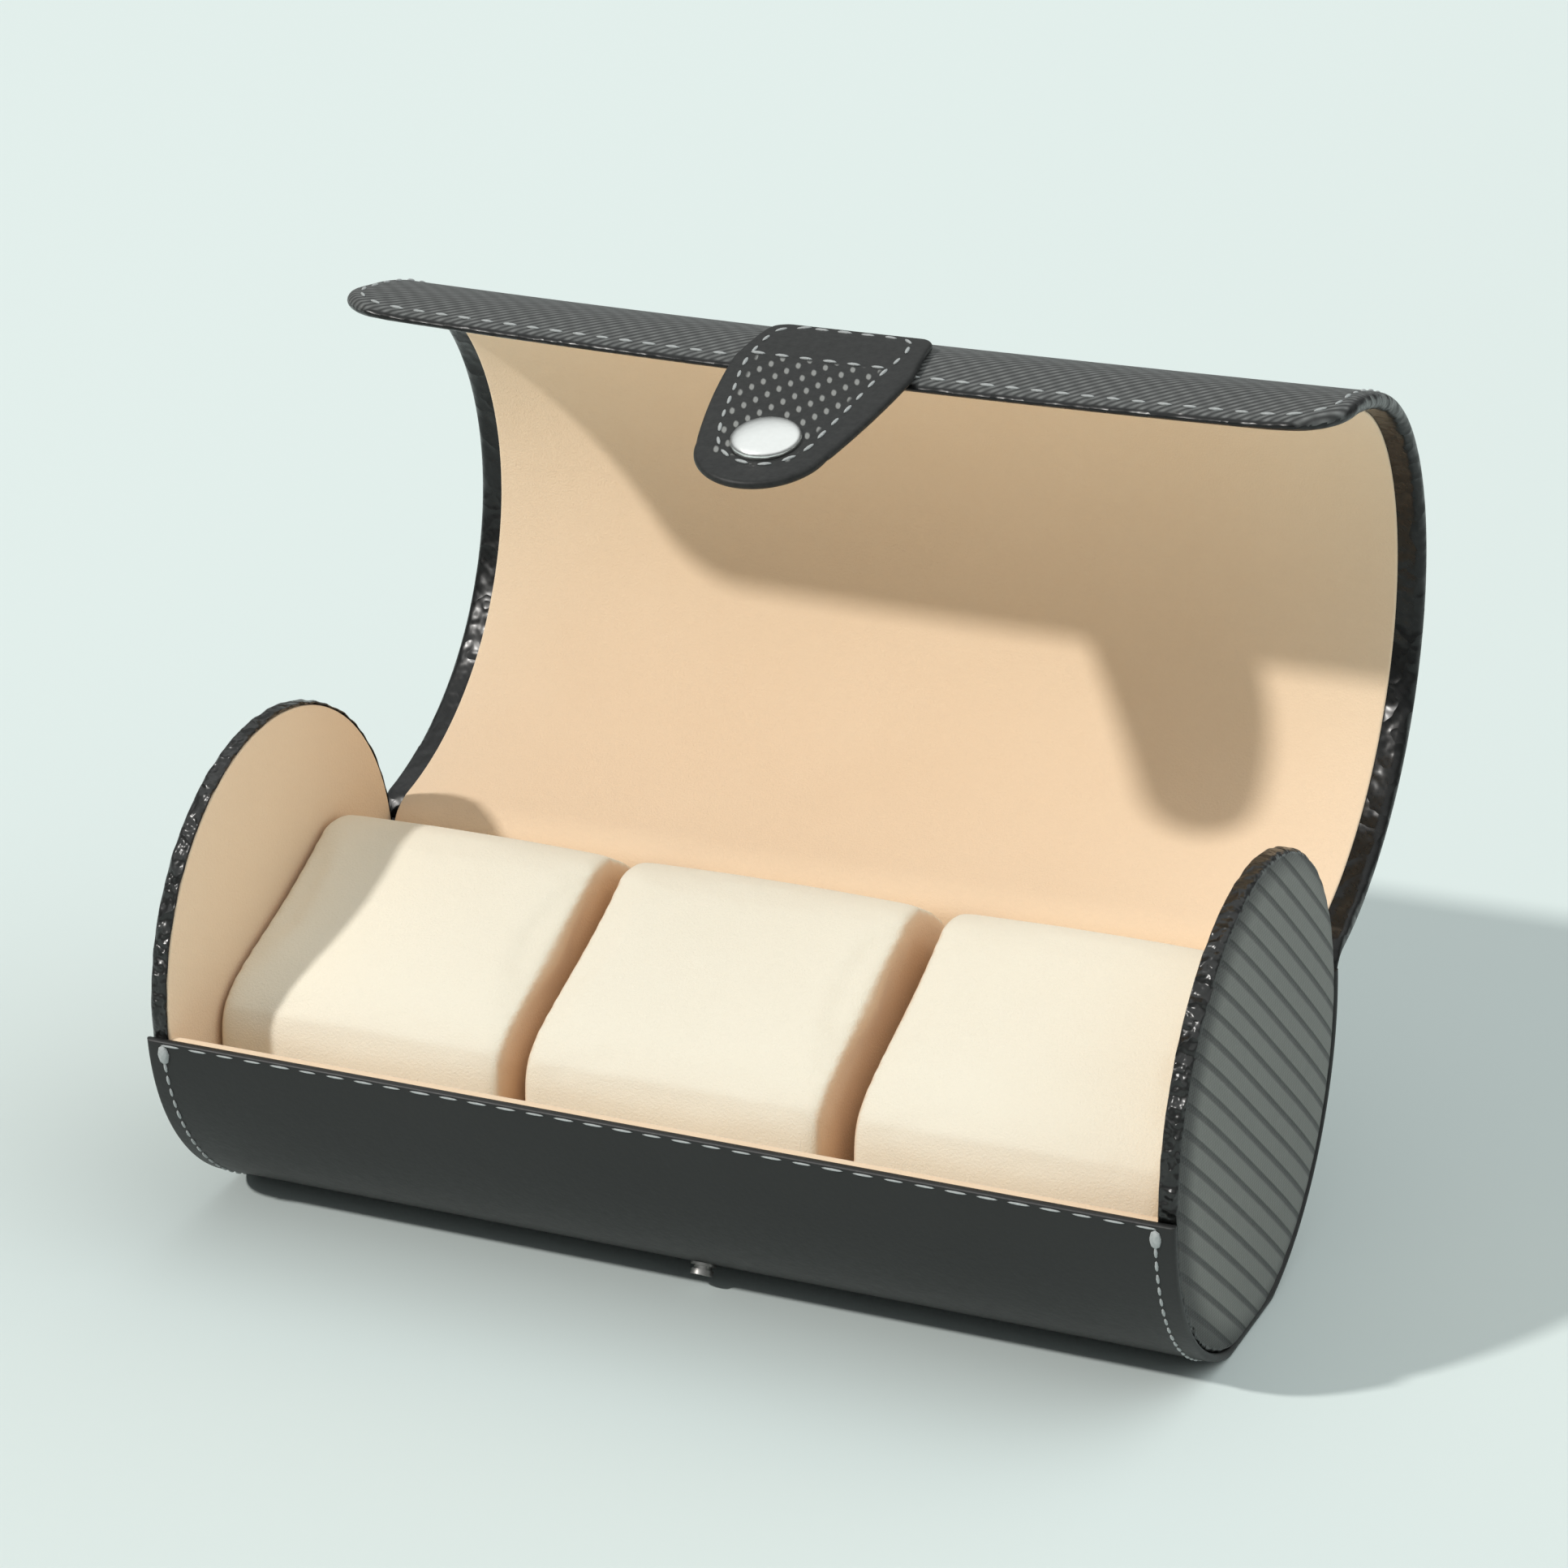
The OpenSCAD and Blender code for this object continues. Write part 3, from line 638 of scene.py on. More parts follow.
def lid_sheet(name, start, stop, depth_in, depth_out, roll, inset):
    """A strip of a lid layer from start to stop along the lid."""
    last = stop is None
    end = LID_LEN - inset if last else stop
    rows = ladder(start, end, ROW_STEP, 0, roll if last else 0)
    if last:
        arc = [end - (LID_CORNER - inset) * (1 - math.sin(math.radians(a))) for a in range(0, 90, 6)]
        rows = np.unique(np.round(np.concatenate([rows, arc]), 4))
    spread = ladder(-1, 1, 0.045)
    grid_x, grid_s = [], []
    for s in rows:
        half = float(half_width(s, inset))
        grid_x.append(row_across(half, [roll * c for c in quarter_steps(6)], half - roll, spread))
        grid_s.append(np.full(len(grid_x[-1]), s))
    x, s = np.array(grid_x), np.array(grid_s)
    share = rolled(outline_gap(x, s, inset), roll)
    if not last:
        share = rolled(LID_HALF - inset - abs(x), roll)
    outer = np.minimum(depth_out, skin(x, s)) if depth_out == LID_T else depth_out
    mid, half_t = (depth_in + outer) / 2, (outer - depth_in) / 2
    return between(name, on_lid(x, s, mid - half_t * share), on_lid(x, s, mid + half_t * share),
                   np.stack([x, s], -1))


def place_m(point):
    """A (y, z) point in millimetres as a Blender point in metres."""
    return (0.0, float(point[0]) * MM, float(point[1]) * MM)


def heading(degrees):
    """The direction in the (y, z) plane at an angle."""
    return np.array([math.cos(math.radians(degrees)), math.sin(math.radians(degrees))])


def follow(piece, k):
    """Fixes a strip where it lies over bend k, or binds the last one to the last panel."""
    if k == 5:
        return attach(piece, "lid_5")
    axis = np.array(joints[f"lid_flex_{k}"]["pos_m"][1:]) / MM
    reach = BLEND_SHARE * PANEL_LEN * heading(PANELS[k][1])
    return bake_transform(piece, f"lid_{k}", f"lid_{k + 1}", place_m(axis - reach), place_m(axis + reach))


for k in range(1, 6):
    stop = CUTS[k] if k < 5 else None
    cover = lid_sheet(f"lid_leather_{k}", CUTS[k - 1], stop, LEATHER_IN, LID_T, ROLL, 0.0)
    nodes = [f"lid_cover_{k}", f"lid_board_{k}"]
    dress(cover, twill_leather, "carbon_leather", *nodes)
    follow(cover, k)
    pad = lid_sheet(f"lid_velour_{k}", CUTS[k - 1], stop, 0.0, LINING_OUT, LINING_ROLL, LID_BORDER)
    dress(pad, lining_velour, "velour_lining", f"lid_lining_{k}")
    follow(pad, k)
    print(cover.name, len(cover.data.polygons), pad.name, len(pad.data.polygons))

# %% [markdown]
# ## Hinge
# At the hinge the leather and the velour simply run on from the trough into the lid. Each is a
# band that starts thin on the trough, turns through the hinge line and ends at the first cut
# of the lid. The velour makes the turn on the inside, the leather on the outside.

# %% Hinge bands
def band(name, inner, outer, half, roll, uv_start):
    """A band along the roll from two lines of (y, z) points, its two long ends rolled."""
    inner, outer = np.asarray(inner), np.asarray(outer)
    length = np.concatenate([[0], np.cumsum(np.hypot(*np.diff(outer, axis=0).T))]) + uv_start
    xs = ladder(-half, half, 8.0, roll, roll)
    x = np.broadcast_to(xs, (len(inner), len(xs)))
    share = rolled(half - abs(x), roll)
    mid, off = (inner + outer) / 2, (outer - inner) / 2
    faces = []
    for sign in (-1, 1):
        y = mid[:, :1] + sign * off[:, :1] * share
        z = mid[:, 1:] + sign * off[:, 1:] * share
        faces.append(np.stack([x, y, z], -1))
    return between(name, faces[0], faces[1], np.stack([x, np.broadcast_to(length[:, None], x.shape)], -1))


def curve_between(a, a_dir, b, b_dir, pull_a, pull_b, steps):
    """Points of a smooth curve from a to b, which leaves and arrives in given directions."""
    t = np.linspace(0, 1, steps)[:, None]
    c1, c2 = a + pull_a * heading(a_dir), b - pull_b * heading(b_dir)
    return (1 - t) ** 3 * a + 3 * (1 - t) ** 2 * t * c1 + 3 * (1 - t) * t ** 2 * c2 + t ** 3 * b


def shell_yz(radius, angle):
    return on_shell(0, angle, radius)[1:]


def lid_yz(s, depth):
    return np.stack([on_lid(LID_HALF, v, depth)[1:] for v in np.atleast_1d(s)])


LEATHER_FROM, VELOUR_FROM = 3.0, 2.4
BAND_ROWS = 9
lid_rows = np.arange(LEATHER_FROM, CUTS[0] + 0.01, (CUTS[0] - LEATHER_FROM) / BAND_ROWS)
climb_at, rise_at = BACK_RIM - np.linspace(7, 1.5, 6), BACK_RIM - np.linspace(9, 1, 6)
climb = [shell_yz(SHELL_R + 0.05, a) for a in climb_at]
under = [shell_yz(SHELL_R + 0.02 - 0.9 * min(1, i / 3), a) for i, a in enumerate(climb_at)]
lid_out, lid_in = lid_yz(lid_rows, LID_T), lid_yz(lid_rows, LEATHER_IN)
valley_out = curve_between(climb[-1], 98.5, lid_out[0], LID_SLOPE + 3, 1.3, 1.4, 8)[1:-1]
valley_in = curve_between(under[-1], 98.5, lid_in[0], LID_SLOPE + 3, 2.6, 1.6, 8)[1:-1]
hinge_leather = band("lid_leather_0", np.concatenate([under, valley_in, lid_in]),
                     np.concatenate([climb, valley_out, lid_out]), LID_HALF, 1.2, -10)
dress(hinge_leather, twill_leather, "carbon_leather")
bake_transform(hinge_leather)

rise, rise_back = ([shell_yz(INNER_R + off, a) for a in rise_at] for off in (-0.05, 0.6))
pad_rows = np.arange(VELOUR_FROM, CUTS[0] + 0.01, (CUTS[0] - VELOUR_FROM) / BAND_ROWS)
pad_in, pad_out = lid_yz(pad_rows, 0.0), lid_yz(pad_rows, LINING_OUT)
turn_in = curve_between(rise[-1], 98, pad_in[0], LID_SLOPE + 2, 3.6, 3.2, 12)[1:-1]
turn_out = curve_between(rise_back[-1], 98, pad_out[0], LID_SLOPE + 2, 3.2, 2.8, 12)[1:-1]
hinge_velour = band("lid_velour_0", np.concatenate([rise, turn_in, pad_in]),
                    np.concatenate([rise_back, turn_out, pad_out]), LID_HALF - LID_BORDER, 0.5, -10)
dress(hinge_velour, lining_velour, "velour_lining")
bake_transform(hinge_velour)
print("hinge bands:", len(hinge_leather.data.polygons), len(hinge_velour.data.polygons))

# %% [markdown]
# ## Closing tab
# The tab is a doubled strap with a round tip, stiffened inside and sewn across the lid's edge.
# Its pattern is flat: x across, u along, with u = 0 at the lid's edge. It is laid on the lid's
# outer face behind the edge, and in front of it runs on in a gentle droop of its own.

# %% Tab pattern and map
TAB_X = 2.5
HEEL_LEN, HEEL_W, ROOT_W, HEEL_ROUND = 17.0, 31.0, 35.0, 4.0
TAB_LEN, TAB_TIP_R, TAB_T = 39.5, 12.5, 1.7
TAB_BULGE = 0.7
TAB_KINK, TAB_CURVE_R = 1.5, 700.0
TAB_ROLL = 0.85
SNAP_REACH = 26.0
KINK_SPAN = 3.0


def tab_line():
    """Points and slopes along the tab's underside: on the lid's face, then on its own from u = 0."""
    heel_u = np.arange(-HEEL_LEN - 1, 0.01, 0.25)
    ss = LID_LEN + heel_u * PANELS[4][2] / (PANELS[4][2] + LID_T)
    heel = on_lid(TAB_X, ss, skin(TAB_X, ss))[:, 1:]
    slopes = np.unwrap(np.arctan2(np.gradient(heel[:, 1]), np.gradient(heel[:, 0])))
    slopes[-1] = slopes[-2]
    free_u = np.arange(0.25, TAB_LEN + 1.25, 0.25)
    b = slopes[-1] + np.radians(TAB_KINK) * smooth(free_u / KINK_SPAN) + free_u / TAB_CURVE_R
    free = heel[-1] + np.cumsum(0.25 * np.stack([np.cos(b), np.sin(b)], -1), axis=0)
    line = np.concatenate([heel, free])
    return np.concatenate([heel_u, free_u]), line[:, 0], line[:, 1], np.concatenate([slopes, b])


TAB_U, TAB_Y, TAB_Z, TAB_B = tab_line()


def on_tab(x, u, depth):
    """A point of the tab: depth 0 is its underside, TAB_T its outer face."""
    x, u, depth = matched(x, u, depth)
    y, z, b = (np.interp(u, TAB_U, line) for line in (TAB_Y, TAB_Z, TAB_B))
    drop = np.where(u < 0, bow(x + TAB_X, LID_LEN + u) - bow(TAB_X, LID_LEN + u), 0)
    return np.stack([x + TAB_X, y + depth * np.sin(b), z - depth * np.cos(b) - drop], -1)


def tab_half(u):
    """Half of the tab's width at u."""
    tip = TAB_LEN - TAB_TIP_R
    lean = math.asin((ROOT_W / 2 - TAB_TIP_R) / tip)
    meet = tip + TAB_TIP_R * math.sin(lean)
    t = np.clip(u, 0, meet) / meet
    straight = ROOT_W / 2 + (TAB_TIP_R * math.cos(lean) - ROOT_W / 2) * t + TAB_BULGE * 4 * t * (1 - t)
    heel = ROOT_W / 2 + (ROOT_W - HEEL_W) / 2 * np.minimum(u, 0) / HEEL_LEN
    past = np.clip(HEEL_ROUND - HEEL_LEN - u, 0, HEEL_ROUND)
    heel -= HEEL_ROUND - np.sqrt(HEEL_ROUND ** 2 - past ** 2)
    tip_arc = np.sqrt(np.maximum(TAB_TIP_R ** 2 - np.clip(u - tip, 0, TAB_TIP_R) ** 2, 0))
    return np.where(u < 0, heel, np.where(u < meet, straight, tip_arc))


def tab_gap(x, u):
    """Distance from the tab's outline."""
    tip = TAB_LEN - TAB_TIP_R
    sides = (tab_half(u) - abs(x)) * 0.98
    round_end = TAB_TIP_R - np.hypot(x, np.maximum(u - tip, 0))
    front = np.minimum(round_end, np.where(u > tip + 1, sides + 9, sides))
    return np.minimum(np.where(u > tip, front, sides), u + HEEL_LEN)


def tab_strap():
    tip = TAB_LEN - TAB_TIP_R
    rows = np.concatenate([[-HEEL_LEN, -HEEL_LEN + 0.08, -HEEL_LEN + 0.3],
                           ladder(0.6 - HEEL_LEN, HEEL_ROUND - HEEL_LEN, 0.4),
                           ladder(HEEL_ROUND - HEEL_LEN, tip, 1.2)[1:],
                           [tip + TAB_TIP_R * math.sin(math.radians(a)) for a in range(4, 91, 3)]])
    spread = ladder(-1, 1, 0.08)
    grid = []
    for u in rows:
        half = float(tab_half(u))
        edge = [min(TAB_ROLL * c, half) for c in quarter_steps(5)]
        grid.append(row_across(half, edge, max(half - TAB_ROLL, 0), spread))
    x = np.array(grid)
    u = np.broadcast_to(rows[:, None], x.shape)
    share = rolled(tab_gap(x, u), TAB_ROLL)
    low, high = on_tab(x, u, TAB_T / 2 * (1 - share)), on_tab(x, u, TAB_T / 2 * (1 + share))
    return between("tab_strap", low, high, np.stack([x, u], -1), 50)


def bend_tab(piece):
    """Fixes a piece where it lies across the lid's edge, without binding it to any body."""
    near, far = on_tab(0, -1.5, TAB_T / 2), on_tab(0, 3.0, TAB_T / 2)
    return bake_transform(piece)


strap = tab_strap()
dress(strap, basket_leather, "tab_leather",
      "tab_heel_cover", "tab_heel_core", "tab_cover", "tab_core", "tab_backing")
bend_tab(strap)
print("tab faces:", len(strap.data.polygons))

# %% [markdown]
# ## Snap fastener
# The cap is a thin plated dome with a rolled rim, riveted through the tab to a ring-shaped socket below. Both
# are turned about one axis, square to the tab, from short profiles. The stud on the base keeps its shape from
# the part's source and only gets its metal, a darker copy of the plated steel: painted shade, as it sits in
# the shadow under the roll.

# %% Snap
def turned_on_tab(name, profile, steps=64):
    """A solid turned about the snap's axis, from a profile of (radius, height over the tab's face)."""
    centre, b = on_tab(0, SNAP_REACH, TAB_T), float(np.interp(SNAP_REACH, TAB_U, TAB_B))
    outward, forward = np.array([0, math.sin(b), -math.cos(b)]), np.array([0, math.cos(b), math.sin(b)])
    a = np.linspace(0, 2 * math.pi, steps, endpoint=False)[:, None]
    circle = np.cos(a) * np.array([1.0, 0, 0]) + np.sin(a) * forward
    rows = [centre + outward * h + r * circle for r, h in profile]
    return finish_mesh(name, np.concatenate(rows), ring_faces(len(profile), steps), None, 50)


DOME_R, DOME_H = 6.5, 2.2
DOME_FOOT = 0.7
dome = [(0, -0.4), (DOME_R - 0.6, -0.4), (DOME_R - 0.15, -0.1), (DOME_R, 0.25), (DOME_R - 0.1, 0.6)]
for a in np.radians(range(6, 90, 7)):
    dome.append((DOME_R * 0.97 * math.cos(a), DOME_FOOT + (DOME_H - DOME_FOOT) * math.sin(a)))
dome.append((0, DOME_H))
snap_dome = turned_on_tab("snap_dome", dome)
dress(snap_dome, snap_steel, "snap_metal", "snap_cap")
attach(snap_dome, "tab")
SOCKET_R, SOCKET_H, MOUTH_R = 5.5, 2.0, 3.5
seat, foot = -TAB_T, -TAB_T - SOCKET_H
ring = [(0, seat + 0.1), (SOCKET_R - 0.2, seat + 0.1), (SOCKET_R, seat - 0.2), (SOCKET_R, foot + 0.4),
        (SOCKET_R - 0.4, foot), (MOUTH_R + 0.3, foot), (MOUTH_R, foot + 0.3), (MOUTH_R, seat - 0.5),
        (0, seat - 0.5)]
snap_ring = turned_on_tab("snap_ring", ring, 48)
dress(snap_ring, snap_steel, "snap_metal", "snap_socket")
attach(snap_ring, "tab")
# The stud's steel is painted darker than the snap's: painted shade for the stud in the shadow under the roll.
shaded_stud_steel, place, shader = new_material("shaded_stud_steel")
marks = place.noise(0.7, 3.0, 0.6)
plug(shader, Base_Color=marks.tint((0.30, 0.29, 0.28), (0.50, 0.49, 0.47)), Metallic=1.0,
     Roughness=0.3 + marks * 0.15)
for name in ("snap_stud", "stud_washer"):
    node = frame["nodes"][name]
    node.data.materials.clear()
    node.data.materials.append(shaded_stud_steel)
print("snap at", np.round(on_tab(0, SNAP_REACH, TAB_T), 1))

# %% [markdown]
# ## Stitches
# Running stitches repeat one small shape along a path, which is what Geometry Nodes are for.
# The tree turns a line of points into a curve, spaces points on it evenly, sets one stitch on
# each, lying along the path and on the surface, and makes them real. The path's points carry
# the surface's normal, so that a stitch turns with a curved edge.

# %% Stitch tree
def stitch_tree():
    tree = bpy.data.node_groups.new("running_stitch", "GeometryNodeTree")
    face = tree.interface
    face.new_socket("Path", in_out="INPUT", socket_type="NodeSocketGeometry")
    for name in ("Pitch", "Length", "Width", "Height"):
        face.new_socket(name, in_out="INPUT", socket_type="NodeSocketFloat")
    face.new_socket("Thread", in_out="INPUT", socket_type="NodeSocketMaterial")
    face.new_socket("Stitches", in_out="OUTPUT", socket_type="NodeSocketGeometry")

    def add(kind, links=(), output=0, **options):
        node = tree.nodes.new(kind)
        for name, value in options.items():
            setattr(node, name, value)
        for key, value in dict(links).items():
            if hasattr(value, "is_output"):
                tree.links.new(value, node.inputs[key])
            else:
                node.inputs[key].default_value = value
        return node.outputs[output]

    given = tree.nodes.new("NodeGroupInput").outputs
    curve = add("GeometryNodeMeshToCurve", {0: given["Path"]})
    even = add("GeometryNodeResampleCurve", {"Curve": curve, "Length": given["Pitch"]}, mode="LENGTH")
    ball = add("GeometryNodeMeshUVSphere", {"Segments": 8, "Rings": 6, "Radius": 1.0})
    half = add("ShaderNodeCombineXYZ", {0: given["Length"], 1: given["Width"], 2: given["Height"]})
    size = add("ShaderNodeVectorMath", {0: half, 1: (0.5, 0.5, 0.5)}, operation="MULTIPLY")
    stitch = add("GeometryNodeTransform", {"Geometry": ball, "Scale": size})
    tangent = add("GeometryNodeInputTangent")
    normal = add("GeometryNodeInputNamedAttribute", {"Name": "outwards"}, data_type="FLOAT_VECTOR")
    lie = add("FunctionNodeAlignRotationToVector", {"Vector": tangent}, axis="X")
    turn = add("FunctionNodeAlignRotationToVector", {"Rotation": lie, "Vector": normal},
               axis="Z", pivot_axis="X")
    jitter = add("FunctionNodeRandomValue", {2: 0.9, 3: 1.06, "Seed": 7}, output=1, data_type="FLOAT")
    rows = add("GeometryNodeInstanceOnPoints",
               {"Points": even, "Instance": stitch, "Rotation": turn, "Scale": jitter})
    real = add("GeometryNodeRealizeInstances", {0: rows})
    done = add("GeometryNodeSetMaterial", {"Geometry": real, "Material": given["Thread"]})
    tree.links.new(done, tree.nodes.new("NodeGroupOutput").inputs[0])
    return tree


running_stitch = stitch_tree()
FITS_LAST = 0.999


def stitches(name, paths, pitch=STITCH_PITCH, length=2.85, width=0.7, height=0.6):
    """Stitches along paths, each a pair of arrays: points in millimetres and outward normals."""
    points, edges, normals, first = [], [], [], 0
    for line, out in paths:
        points += (line * MM).tolist()
        normals.append(out)
        edges += [(first + i, first + i + 1) for i in range(len(line) - 1)]
        first += len(line)
    mesh = bpy.data.meshes.new(name + "_path")
    mesh.from_pydata(points, edges, [])
    attribute = mesh.attributes.new("outwards", "FLOAT_VECTOR", "POINT")
    attribute.data.foreach_set("vector", np.concatenate(normals).astype(np.float32).ravel())
    guide = placed(name + "_path", mesh)
    modifier = guide.modifiers.new("stitch", "NODES")
    modifier.node_group = running_stitch
    wanted = {"Pitch": pitch * MM * FITS_LAST, "Length": length * MM, "Width": width * MM,
              "Height": height * MM, "Thread": thread}
    for item in running_stitch.interface.items_tree:
        if item.name in wanted and item.in_out == "INPUT":
            modifier[item.identifier] = wanted[item.name]
    bpy.context.view_layer.update()
    ready = guide.evaluated_get(bpy.context.evaluated_depsgraph_get())
    row = placed(name, bpy.data.meshes.new_from_object(ready))
    bpy.data.objects.remove(guide)
    row.data.shade_smooth()
    print(name, "faces:", len(row.data.polygons))
    return row


def outward_of(surface, x, s, low, high):
    """Unit normals of a map, from the step between two depths."""
    step = surface(x, s, high) - surface(x, s, low)
    return step / np.linalg.norm(step, axis=-1, keepdims=True)


# %% [markdown]
# The base has three rows: one along the front rim, and one round each end that starts at the
# front rim with a small knot. The lid has one long row that runs up its left side, round the
# front and down its right side, cut like the strips it lies on. The tab has a round of sewing
# near its outline, and a row across it behind the lid's edge.

# %% Rows of stitches
RIM_ROW, END_ROW, LID_ROW = 0.75, 4.4, 2.7
SUNK = 0.05


def shell_path(xs, angles):
    xs, angles = matched(xs, angles)
    return on_shell(xs, angles, SHELL_R + SUNK), outward_of(on_shell, xs, angles, SHELL_R - 1, SHELL_R)


per_mm = math.degrees(1 / SHELL_R)
rim_row = shell_path(np.linspace(-HALF_LEN + 6, HALF_LEN - 6, 60), FRONT_RIM + RIM_ROW * per_mm)
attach(stitches("rim_stitches", [rim_row], 5.6, 4.0, 0.42, 0.42), "root")
end_angles = np.linspace(FRONT_RIM + 5.5 * per_mm, BACK_RIM - 3, 140)
end_rows = [shell_path(sign * (HALF_LEN - END_ROW), end_angles) for sign in (-1, 1)]
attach(stitches("end_stitches", end_rows, 2.9, 2.35, 0.66), "root")
knot_angles = FRONT_RIM + np.array([2.6, 3.0]) * per_mm
knots = [shell_path(sign * (HALF_LEN - END_ROW), knot_angles) for sign in (-1, 1)]
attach(stitches("end_knots", knots, 9, 3.7, 2.3, 1.4), "root")


def lid_path(xs, ss):
    xs, ss = matched(xs, ss)
    return on_lid(xs, ss, skin(xs, ss) + SUNK), outward_of(on_lid, xs, ss, 0.0, LID_T)


def front_path():
    """The row's way through the last strip: side, corner, front edge, corner, side."""
    corner, half, end = LID_CORNER - LID_ROW, LID_HALF - LID_ROW, LID_LEN - LID_ROW
    side = [(-half, s) for s in np.linspace(CUTS[4] + STITCH_PITCH / 2, end - corner, 8)]
    turn = [(-half + corner * (1 - math.cos(a)), end - corner + corner * math.sin(a))
            for a in np.linspace(0, math.pi / 2, 12)[1:]]
    left = side + turn
    front = [(x, end) for x in np.linspace(-half + corner, half - corner, 60)[1:-1]]
    way = left + front + [(-x, s) for x, s in reversed(left)]
    xs, ss = np.array(way).T
    return lid_path(xs, ss)


for k in range(6):
    if k == 5:
        row = stitches("lid_stitches_5", [front_path()])
    else:
        low = CUTS[k - 1] if k else CUTS[0] - 3 * STITCH_PITCH
        ss = np.linspace(low + STITCH_PITCH / 2, CUTS[k] - STITCH_PITCH / 2, 20)
        row = stitches(f"lid_stitches_{k}", [lid_path(sign * (LID_HALF - LID_ROW), ss) for sign in (-1, 1)])
    if k:
        follow(row, k)
    else:
        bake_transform(row)


def tab_path(xs, us):
    xs, us = matched(xs, us)
    return on_tab(xs, us, TAB_T + SUNK), outward_of(on_tab, xs, us, 0.0, TAB_T)


TAB_SEWING = [(-9.5, -13.9), (-12.7, -12.2), (-14.0, -8), (-14.4, -2), (-14.3, 3), (-12.5, 11),
              (-11, 19), (-9.6, 24.5), (-7.7, 29.4), (-4.2, 32.6), (1.0, 33.9), (5.4, 32.0),
              (8.3, 27.6), (9.5, 20), (10.5, 13), (11.2, 6), (11.9, 0), (13.1, -6.5), (12.9, -11),
              (10.5, -13.9), (-6.0, -13.9)]
TAB_CROSS = 1.8


def tab_rows():
    """The tab's round of sewing, closer to its left edge, and the row that crosses it."""
    corners = np.array(TAB_SEWING)
    reach = np.concatenate([[0], np.cumsum(np.hypot(*np.diff(corners, axis=0).T))])
    spots = np.linspace(0, reach[-1], 150)
    loop = [np.interp(spots, reach, corners[:, i]) for i in (0, 1)]
    cross = (np.linspace(-13.2, 10.2, 20), np.full(20, -TAB_CROSS))
    return [tab_path(*loop), tab_path(*cross)]


bend_tab(stitches("tab_stitches", tab_rows(), 4.5, 2.8))

# %% [markdown]
# ## Pillows
# Each pillow is foam in a velour cover: full, crowned, with soft side edges. The part's source
# gives its form. A cloth simulation with a little air pressure rounds it as a filled cover
# does: the form is remeshed, blown up for a few frames, and held back where it would touch the
# lining or its neighbours.

# %% Pillows
VOXEL = 1.7
SWELL = 0.5
SWELL_FRAMES = 20
SIDE_ROOM = 0.4


def pillow_start(node):
    """The outer skin of a pillow's part, as a new object."""
    mesh = frame["nodes"][node].data.copy()
    work = bmesh.new()
    work.from_mesh(mesh)
    bmesh.ops.remove_doubles(work, verts=work.verts, dist=1e-6)
    top = max(work.verts, key=lambda v: v.co.z)
    skin, queue = {top}, [top]
    while queue:
        for edge in queue.pop().link_edges:
            for vert in edge.verts:
                if vert not in skin:
                    skin.add(vert)
                    queue.append(vert)
    bmesh.ops.delete(work, geom=[v for v in work.verts if v not in skin], context="VERTS")
    bmesh.ops.recalc_face_normals(work, faces=work.faces)
    work.to_mesh(mesh)
    work.free()
    mesh.materials.clear()
    return placed("skin", mesh)


def baked(piece):
    """Replaces a piece's mesh by its evaluated one and drops its modifiers."""
    ready = piece.evaluated_get(bpy.context.evaluated_depsgraph_get())
    mesh = bpy.data.meshes.new_from_object(ready)
    piece.modifiers.clear()
    piece.data = mesh


def swell(piece, pressure):
    """Blows the piece up with a cloth simulation and caps how far it moves."""
    before = np.array([v.co for v in piece.data.vertices])
    cloth = piece.modifiers.new("cloth", "CLOTH")
    cloth.settings.use_pressure = True
    cloth.settings.uniform_pressure_force = pressure
    cloth.settings.effector_weights.gravity = 0
    cloth.settings.quality = 6
    cloth.point_cache.frame_start, cloth.point_cache.frame_end = 1, SWELL_FRAMES
    for number in range(1, SWELL_FRAMES + 1):
        bpy.context.scene.frame_set(number)
    baked(piece)
    bpy.context.scene.frame_set(1)
    move = np.array([v.co for v in piece.data.vertices]) - before
    far = np.linalg.norm(move, axis=1, keepdims=True)
    move *= np.minimum(1, SWELL * MM / np.maximum(far, 1e-9))
    return before + move


for k, pressure in ((1, 2.0), (2, 2.2), (3, 1.8)):
    node = f"pillow_{k}_cover"
    low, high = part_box(node)
    pillow = pillow_start(node)
    pillow.name = f"pillow_{k}"
    remesh = pillow.modifiers.new("remesh", "REMESH")
    remesh.mode, remesh.voxel_size = "VOXEL", VOXEL * MM
    baked(pillow)
    spots = np.array([v.co for v in pillow.data.vertices])
    spots = swell(pillow, pressure)
    radius_now = np.hypot(spots[:, 1], spots[:, 2] - AXIS_Z * MM)
    limit = (INNER_R - 0.3) * MM
    pull = np.minimum(1, limit / np.maximum(radius_now, 1e-9))
    spots[:, 1] *= pull
    spots[:, 2] = AXIS_Z * MM + (spots[:, 2] - AXIS_Z * MM) * pull
    spots[:, 2] = np.maximum(spots[:, 2], low.z + 0.1 * MM)
    spots[:, 0] = np.clip(spots[:, 0], low.x - SIDE_ROOM * MM, high.x + SIDE_ROOM * MM)
    pillow.data.vertices.foreach_set("co", spots.astype(np.float32).ravel())
    soften = pillow.modifiers.new("soften", "SUBSURF")
    soften.levels = soften.render_levels = 1
    baked(pillow)
    pillow.data.shade_smooth()
    normals = np.zeros(3 * len(pillow.data.vertices))
    pillow.data.vertices.foreach_get("normal", normals)
    # Painted shade: the sides that face along the roll get the darker tan of the shaded gaps between the
    # pillows.
    mark(pillow.data, "painted_side_shade", smooth((abs(normals[::3]) - 0.55) / 0.4))
    dress(pillow, pillow_velour, "pillow_velour", node, f"pillow_{k}_core")
    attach(pillow, f"pillow_{k}")
    print(pillow.name, "faces:", len(pillow.data.polygons))

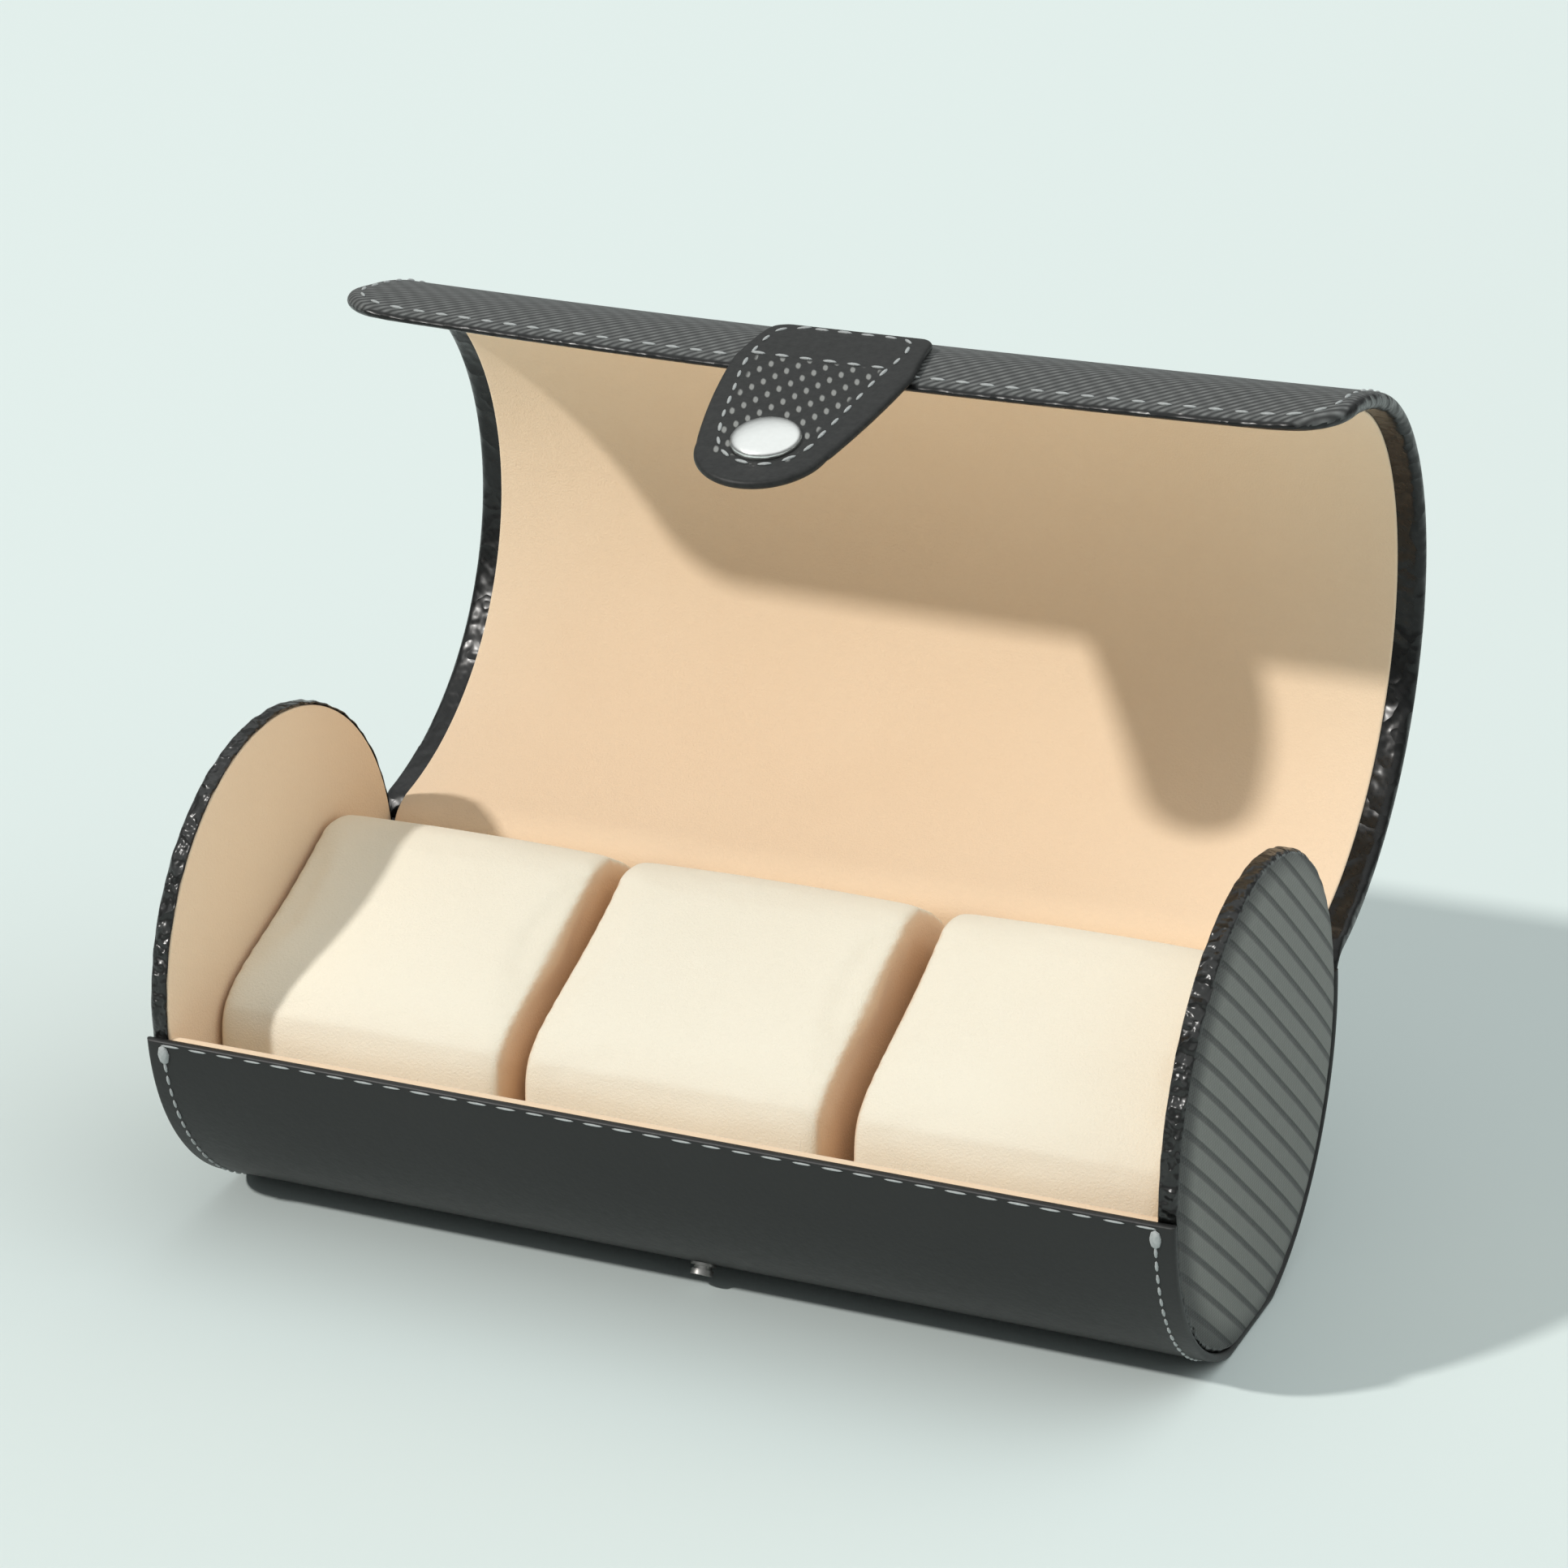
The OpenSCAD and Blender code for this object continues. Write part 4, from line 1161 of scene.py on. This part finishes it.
# %% [markdown]
# ## Floor, light and camera
# The photograph was taken on a pale mint sheet with one lamp from the upper left and a lot of
# fill. A sun lamp of a few degrees gives the shadows their slightly soft edge, and the world
# fills the rest, most of it from the upper right and the back, as from a window there. So what
# faces the front stays dark. The camera stands where the caps' circles and the lid's edges were
# fitted.

# %% Floor
FLOOR_COLOUR = (0.74, 0.825, 0.81)
FLOOR_DARK = tuple(0.93 * c for c in FLOOR_COLOUR)
FLOOR_REACH = 8.0
floor_mesh = bpy.data.meshes.new("floor")
corners = [(x * FLOOR_REACH, y * FLOOR_REACH, 0) for x, y in ((-1, -1), (1, -1), (1, 1), (-1, 1))]
floor_mesh.from_pydata(corners, [], [(0, 1, 2, 3)])
floor = placed("floor", floor_mesh)
floor_material, place, shader = new_material("mint_floor")
# Painted light falloff: the floor is painted darker towards the right.
painted_falloff = 1 - place.part("x").step(-0.5, 0.7)
plug(shader, Base_Color=painted_falloff.tint(FLOOR_DARK, FLOOR_COLOUR), Roughness=0.8, Specular_IOR_Level=0.2)
floor.data.materials.append(floor_material)

# %% Light
TO_LAMP = Vector((-0.485, -0.587, 0.648))
SUN_POWER, SUN_ANGLE = 2.05, 3.2
FILL_FROM = Vector((0.62, 0.25, 0.74)).normalized()
FILL_LOW, FILL_PEAK = 0.15, 1.32
sun = placed("sun", bpy.data.lights.new("sun", "SUN"))
sun.data.energy, sun.data.angle = SUN_POWER, math.radians(SUN_ANGLE)
sun.data.color = (1.0, 0.975, 0.94)
sun.rotation_euler = TO_LAMP.to_track_quat("Z", "Y").to_euler()
world = bpy.data.worlds.new("room")
world.use_nodes = True
sky = Wire(world.node_tree, world.node_tree.nodes.new("ShaderNodeTexCoord").outputs["Generated"])
height = sky.part("z").step(0.2, 0.8)
toward = sky.node("ShaderNodeVectorMath", {0: sky, 1: FILL_FROM}, output=1, operation="DOT_PRODUCT")
toward = toward.largest(0.0)
rays = world.node_tree.nodes.new("ShaderNodeLightPath")
camera_ray, through_ray, gloss = (Wire(sky.tree, rays.outputs[f"Is {kind} Ray"])
                                  for kind in ("Camera", "Transmission", "Glossy"))
seen = camera_ray.largest(through_ray)
fill = FILL_LOW + toward * toward * FILL_PEAK
level = fill * (1 - gloss) + (0.2 + height * 0.8) * gloss
backdrop = world.node_tree.nodes["Background"]
backdrop.inputs["Color"].default_value = (0.96, 1.0, 0.995, 1)
sky.tree.links.new((level * (1 - seen) + seen).socket, backdrop.inputs["Strength"])
bpy.context.scene.world = world

# %% Camera
CAMERA_AT = Vector((314.149, -707.744, 380.076)) * MM
CAMERA_TO = Vector((8.13, 0.0, 90.45)) * MM
camera = placed("camera", bpy.data.cameras.new("camera"))
camera.location = CAMERA_AT
camera.rotation_euler = (CAMERA_AT - CAMERA_TO).to_track_quat("Z", "Y").to_euler()
camera.data.lens, camera.data.sensor_width = 105.71, 36.0
camera.data.clip_start, camera.data.clip_end = 0.01, 50
bpy.context.scene.camera = camera
bpy.context.scene.view_settings.view_transform = "Standard"
